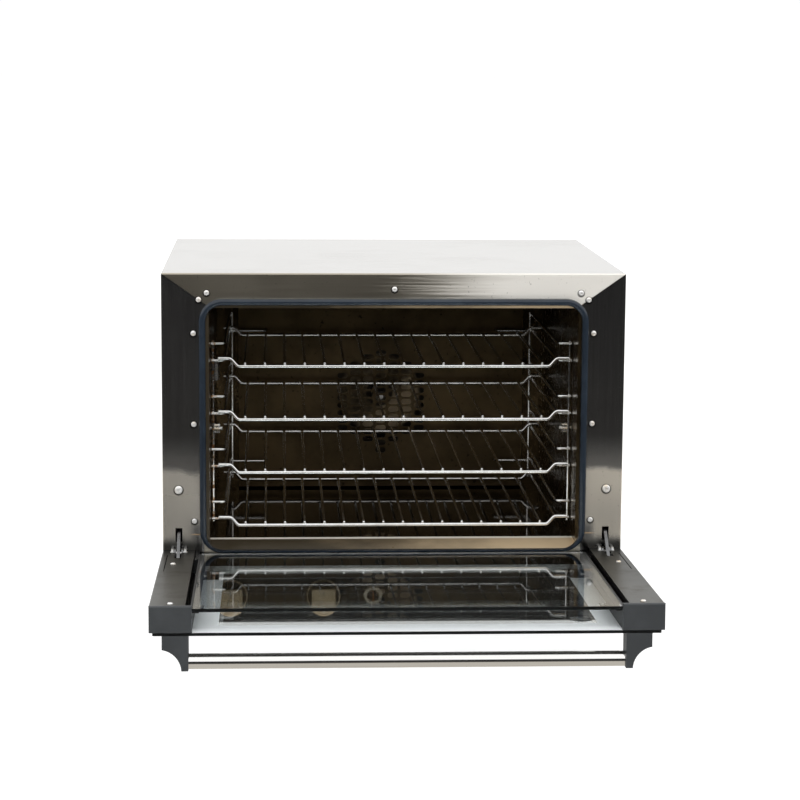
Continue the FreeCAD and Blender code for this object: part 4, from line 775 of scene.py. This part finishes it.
dress(pane_glass("outer_pane", "outer_glass"), "outer_glass")
dress(pane_glass("inner_pane", "inner_glass"), "inner_glass")

# %% [markdown]
# ## Printed border of the outer pane
# A frame is printed on the inside of the outer pane and leaves a clear window. On the
# inner side it is pale grey, with a black strip at the hinge end. Under the grey lies
# a black layer that is fired into the pane and covers it to its edges, so the outside
# of the shut door is black round the window. Both are thinner than paper, but they hide
# what lies behind them, so each is a sheet of its own. Two rectangles of four edges
# each are bridged, and the ring is given its thickness.

# %% Printed border


def rectangle(bm, x0, x1, y0, y1, z):
    """Four corner points joined by edges."""
    corners = [bm.verts.new(p) for p in ((x0, y0, z), (x1, y0, z), (x1, y1, z), (x0, y1, z))]
    return [bm.edges.new((corners[i], corners[(i + 1) % 4])) for i in range(4)]


def new_object(name, bm, material):
    """Make an object of the mesh, at the origin."""
    mesh = bpy.data.meshes.new(name)
    bm.to_mesh(mesh)
    bm.free()
    mesh.materials.append(material)
    made = bpy.data.objects.new(name, mesh)
    bpy.context.scene.collection.objects.link(made)
    return made


def new_piece(name, bm, body, material):
    """Make a piece of the oven and let it ride on a body."""
    piece = new_object(name, bm, material)
    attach(piece, body)
    print(name, len(piece.data.polygons), "faces")


PRINT_LIFT, PRINT_THICKNESS = 0.02 * MM, 0.06 * MM
WINDOW_LEFT, WINDOW_RIGHT = -220.5 * MM, 226.0 * MM
WINDOW_BACK, WINDOW_FRONT = 50.0 * MM, 322.0 * MM
BORDER_HALF, BORDER_SETBACK, PANE_RIM = 254.0 * MM, 8 * MM, 1 * MM
to_level = door_turn.inverted()
level_pane = [to_level @ v.co for v in frame["nodes"]["outer_glass"].data.vertices]
pane_half = max(p.x for p in level_pane)
pane_top = max(p.z for p in level_pane)
pane_front = min(p.y for p in level_pane)
pane_back = max(p.y for p in level_pane)


def print_ring(half, back, z):
    """Thin frame round the window, from this half width and back end, top face at z."""
    bm = bmesh.new()
    outline = rectangle(bm, -half, half, pane_front + PANE_RIM, back, z)
    window = rectangle(
        bm, WINDOW_LEFT, WINDOW_RIGHT, front_y - WINDOW_FRONT, front_y - WINDOW_BACK, z
    )
    bmesh.ops.bridge_loops(bm, edges=outline + window)
    bmesh.ops.recalc_face_normals(bm, faces=bm.faces)
    if sum(f.normal.z for f in bm.faces) < 0:
        bmesh.ops.reverse_faces(bm, faces=bm.faces)
    bmesh.ops.solidify(bm, geom=bm.faces, thickness=PRINT_THICKNESS)
    top = max(v.co.z for v in bm.verts)
    bmesh.ops.translate(bm, vec=(0.0, 0.0, z - top), verts=bm.verts)
    bmesh.ops.recalc_face_normals(bm, faces=bm.faces)
    bmesh.ops.transform(bm, matrix=door_turn, verts=bm.verts)
    return bm


print_grey, shader, place = new_finish("print_grey")
speckle = place.noise(800.0, 2.0, 0.5)
cloud = place.noise(12.0, 3.0, 0.5)
pale = (speckle * 0.5 + cloud * 0.5).tint((0.88, 0.91, 0.93), (0.94, 0.97, 0.98))
middle_x, half_x = (WINDOW_LEFT + WINDOW_RIGHT) / 2.0, (WINDOW_RIGHT - WINDOW_LEFT) / 2.0
window_end = front_y - WINDOW_BACK
hinge_strip = abs(place.axis("X") - middle_x).fade(half_x + 0.4 * MM, half_x - 0.1 * MM)
hinge_strip = hinge_strip * place.axis("Y").fade(window_end - 1 * MM, window_end)
finish_off(
    print_grey, shader, Base_Color=hinge_strip.tint(pale, (0.010, 0.010, 0.011)),
    Roughness=0.34 + speckle * 0.2, Normal=speckle.bump(0.05, 0.0001),
)
print_black = moulded(
    "print_black", (0.010, 0.010, 0.011), (0.018, 0.018, 0.019), 0.30, 0.03, 900.0
)
border_top = pane_top + PRINT_LIFT + PRINT_THICKNESS
grey_ring = print_ring(BORDER_HALF, pane_back - BORDER_SETBACK, border_top)
new_piece("printed_border", grey_ring, "door", print_grey)
black_ring = print_ring(pane_half - PANE_RIM, pane_back - PANE_RIM, pane_top - PRINT_LIFT)
new_piece("printed_backing", black_ring, "door", print_black)

# %% [markdown]
# ## Dial marks
# Round each knob the panel carries a printed scale: short lines and plain numbers.
# The lines are thin bars set round the knob's axis. The numbers start as text, are
# turned into a mesh, and are then stood upright on the panel. The scale begins at
# the top, where the pointer is at rest, and runs clockwise over the knob's turn.

# %% Dial marks
MARK_LIFT, MARK_THICKNESS = 0.02 * MM, 0.08 * MM
TICK_INNER, TICK_OUTER, TICK_WIDTH = 23.2 * MM, 25.6 * MM, 0.7 * MM
NUMBER_REACH, NUMBER_SIZE = 28.6 * MM, 4.6 * MM
UPRIGHT = Matrix.Rotation(math.radians(90.0), 4, "X")
panel_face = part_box("control_panel")[0].y

mark_grey, shader, place = new_finish("mark_grey")
worn_ink = place.noise(900.0, 2.0, 0.5)
finish_off(
    mark_grey, shader,
    Base_Color=worn_ink.tint((0.20, 0.20, 0.20), (0.34, 0.34, 0.33)),
    Roughness=0.5 + worn_ink * 0.2,
)


def number_mesh(words):
    """Flat text turned into a mesh, centred on the origin."""
    curve = bpy.data.curves.new("number", "FONT")
    curve.body = words
    curve.size = NUMBER_SIZE
    curve.align_x = "CENTER"
    curve.align_y = "CENTER"
    curve.resolution_u = 3
    curve.extrude = MARK_THICKNESS / 2.0
    holder = bpy.data.objects.new("number", curve)
    mesh = bpy.data.meshes.new_from_object(holder)
    bpy.data.objects.remove(holder)
    return mesh


def dial_marks(name, knob, turn, numbers):
    """Scale round a knob: one number per step and a line at each step and half step."""
    low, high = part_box(knob)
    centre = (low + high) / 2.0
    centre.y = panel_face - MARK_LIFT - MARK_THICKNESS / 2.0
    bm = bmesh.new()
    steps = 2 * (len(numbers) - 1)
    for step in range(steps + 1):
        angle = math.radians(turn * step / steps)
        around = Matrix.Rotation(angle, 4, "Y")
        inner = TICK_INNER if step % 2 == 0 else (TICK_INNER + TICK_OUTER) / 2.0
        size = Matrix.Diagonal((TICK_WIDTH, MARK_THICKNESS, TICK_OUTER - inner, 1.0))
        out = Matrix.Translation((0.0, 0.0, (inner + TICK_OUTER) / 2.0))
        place = Matrix.Translation(centre) @ around @ out @ size
        bmesh.ops.create_cube(bm, size=1.0, matrix=place)
        if step % 2 == 0:
            mesh = number_mesh(numbers[step // 2])
            spot = around @ Vector((0.0, 0.0, NUMBER_REACH))
            mesh.transform(Matrix.Translation(centre + spot) @ UPRIGHT)
            bm.from_mesh(mesh)
            bpy.data.meshes.remove(mesh)
    new_piece(name, bm, "cabinet", mark_grey)


TIMER_TURN, THERMOSTAT_TURN = 300.0, 270.0
minutes = [str(number) for number in range(0, 101, 20)]
degrees = [str(number) for number in range(0, 251, 50)]
dial_marks("timer_marks", "timer_knob", TIMER_TURN, minutes)
dial_marks("thermostat_marks", "thermostat_knob", THERMOSTAT_TURN, degrees)

# %% [markdown]
# The knobs have a groove across the top of the grip. On the real piece it is filled
# with pale paint, so a rounded strip is laid into it and turns with the knob.

# %% Knob pointers
POINTER_WIDTH, POINTER_THICKNESS = 1.3 * MM, 0.5 * MM
POINTER_START, POINTER_END = 3.0 * MM, 11.3 * MM
POINTER_ROUNDING, GROOVE_DEPTH = 0.6 * MM, 0.8 * MM

for knob, body in (("timer_knob", "timer_dial"), ("thermostat_knob", "thermostat_dial")):
    low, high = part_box(knob)
    centre = (low + high) / 2.0
    length = POINTER_END - POINTER_START
    middle = Vector((
        centre.x,
        low.y + GROOVE_DEPTH - POINTER_THICKNESS / 2.0,
        centre.z + (POINTER_START + POINTER_END) / 2.0,
    ))
    bm = bmesh.new()
    size = Matrix.Diagonal((POINTER_WIDTH, POINTER_THICKNESS, length, 1.0))
    bmesh.ops.create_cube(bm, size=1.0, matrix=Matrix.Translation(middle) @ size)
    across_y = [e for e in bm.edges if abs((e.verts[0].co - e.verts[1].co).y) > 0.1 * MM]
    bmesh.ops.bevel(
        bm, geom=across_y, offset=POINTER_ROUNDING, segments=3, profile=0.5,
        affect="EDGES", material=-1,
    )
    new_piece(knob + "_pointer", bm, body, mark_grey)

# %% [markdown]
# ## Studio
# A pale floor carries the oven. It glows, so that it is as pale as the wall behind
# it. Mirror reflections leave it out, so the steel shows the light dome's own warm
# grey below the horizon.

# %% Floor
FLOOR_REACH, FLOOR_DROP = 40.0, 0.5 * MM
WHITE, GREY, BLACK = ((level, level, level, 1.0) for level in (1.0, 0.3, 0.0))

floor_white, shader, place = new_finish(
    "floor_white", Base_Color=GREY, Roughness=0.9,
    Emission_Color=WHITE, Emission_Strength=0.93,
)
bm = bmesh.new()
bmesh.ops.create_grid(bm, x_segments=8, y_segments=8, size=FLOOR_REACH)
floor = new_object("studio_floor", bm, floor_white)
floor.location.z = -FLOOR_DROP
floor.visible_glossy = False
print("floor", tuple(floor.dimensions))

# %% [markdown]
# A round pale wall far behind closes the view above the floor's edge from every
# side. It is a ring of edges pulled up into a band. Only the eye sees it: it gives
# no light and no reflection, so the dome still lights the oven.

# %% Round wall
WALL_REACH, WALL_HEIGHT, WALL_SIDES = 38.0, 30.0, 96

wall_white, shader, place = new_finish(
    "wall_white", Base_Color=BLACK, Roughness=0.9,
    Emission_Color=WHITE, Emission_Strength=1.0,
)
bm = bmesh.new()
bmesh.ops.create_circle(bm, segments=WALL_SIDES, radius=WALL_REACH)
lifted = bmesh.ops.extrude_edge_only(bm, edges=bm.edges[:])["geom"]
lifted = [v for v in lifted if isinstance(v, bmesh.types.BMVert)]
bmesh.ops.translate(bm, vec=(0.0, 0.0, WALL_HEIGHT), verts=lifted)
bmesh.ops.recalc_face_normals(bm, faces=bm.faces)
wall = new_object("studio_wall", bm, wall_white)
wall.visible_glossy = False
wall.visible_diffuse = False
wall.visible_shadow = False
print("wall", tuple(wall.dimensions))

# %% [markdown]
# Close in front of the oven lies a warm grey card. It isn't seen by the camera and
# casts nothing: it only gives low mirror reflections, such as the lower half of the
# handle bar, something near to show, while the room further off stays dark.

# %% Reflecting card
CARD_WIDTH, CARD_BACK, CARD_FRONT, CARD_LIFT = 3.0, -0.24, -0.53, 0.5 * MM

card_grey, shader, place = new_finish(
    "card_grey", Base_Color=BLACK, Roughness=0.9, Emission_Strength=1.0
)
cloud = place.noise(3.0, 2.0, 0.5)
warm = cloud.tint((0.46, 0.43, 0.38), (0.58, 0.55, 0.50))
finish_off(card_grey, shader, Emission_Color=warm)
bm = bmesh.new()
bmesh.ops.create_grid(bm, x_segments=6, y_segments=2, size=0.5)
size = Matrix.Diagonal((CARD_WIDTH, CARD_BACK - CARD_FRONT, 1.0, 1.0))
middle = Matrix.Translation((0.0, (CARD_BACK + CARD_FRONT) / 2.0, CARD_LIFT))
bmesh.ops.transform(bm, matrix=middle @ size, verts=bm.verts)
card = new_object("warm_card", bm, card_grey)
card.visible_camera = False
card.visible_diffuse = False
card.visible_shadow = False
card.visible_transmission = False
print("card", tuple(card.dimensions))

# %% [markdown]
# A large soft lamp above the front fills what is matt, such as the print and the
# moulded caps. Mirrors don't show it, so the steel keeps the dome's clean bands.

# %% Front lamp
LAMP_SIZE, LAMP_WATTS = 1.4, 18.0
LAMP_PLACE, LAMP_AIM = Vector((0.25, -1.9, 2.1)), Vector((0.0, -0.3, 0.1))

lamp_data = bpy.data.lights.new("front_lamp", "AREA")
lamp_data.shape = "DISK"
lamp_data.size = LAMP_SIZE
lamp_data.energy = LAMP_WATTS
lamp_data.specular_factor = 0.0
lamp = bpy.data.objects.new("front_lamp", lamp_data)
lamp.location = LAMP_PLACE
lamp.rotation_euler = (LAMP_AIM - LAMP_PLACE).to_track_quat("-Z", "Y").to_euler()
lamp.visible_glossy = False
bpy.context.scene.collection.objects.link(lamp)
print("front lamp", lamp_data.energy, "W")

# %% [markdown]
# The room is a soft light dome: white above and behind, with a dark band at the
# height of the horizon in front, which is what polished metal needs to look like
# metal. Far below the horizon it turns a warm grey. The direction of a ray tells
# these parts apart, and colours are shown as they are, without a film curve.

# %% Light dome
DOME_WHITE, GROUND_GREY = (1.14, 1.14, 1.14), (0.36, 0.33, 0.29)

world = bpy.data.worlds.new("studio_dome")
bpy.context.scene.world = world
world.use_nodes = True
tree = world.node_tree
backdrop = tree.nodes["Background"]
way = Flow(tree).node("TexCoord", out="Generated")
deep, rise = way.axis("Y"), way.axis("Z")
sky = rise.fade(0.08, 0.26)
behind = deep.fade(-0.15, 0.35)
bright = sky.most(behind * rise.fade(-0.5, -0.1))
low_ground = rise.fade(-0.36, -0.58)
shade = rise.fade(-0.09, -0.21).tint((0.021, 0.021, 0.022), (0.045, 0.044, 0.042))
room = low_ground.tint(shade, GROUND_GREY)
room = bright.tint(room, DOME_WHITE)
tree.links.new(room.socket, backdrop.inputs["Color"])
backdrop.inputs["Strength"].default_value = 1.0
bpy.context.scene.view_settings.view_transform = "Standard"
print("dome ready")
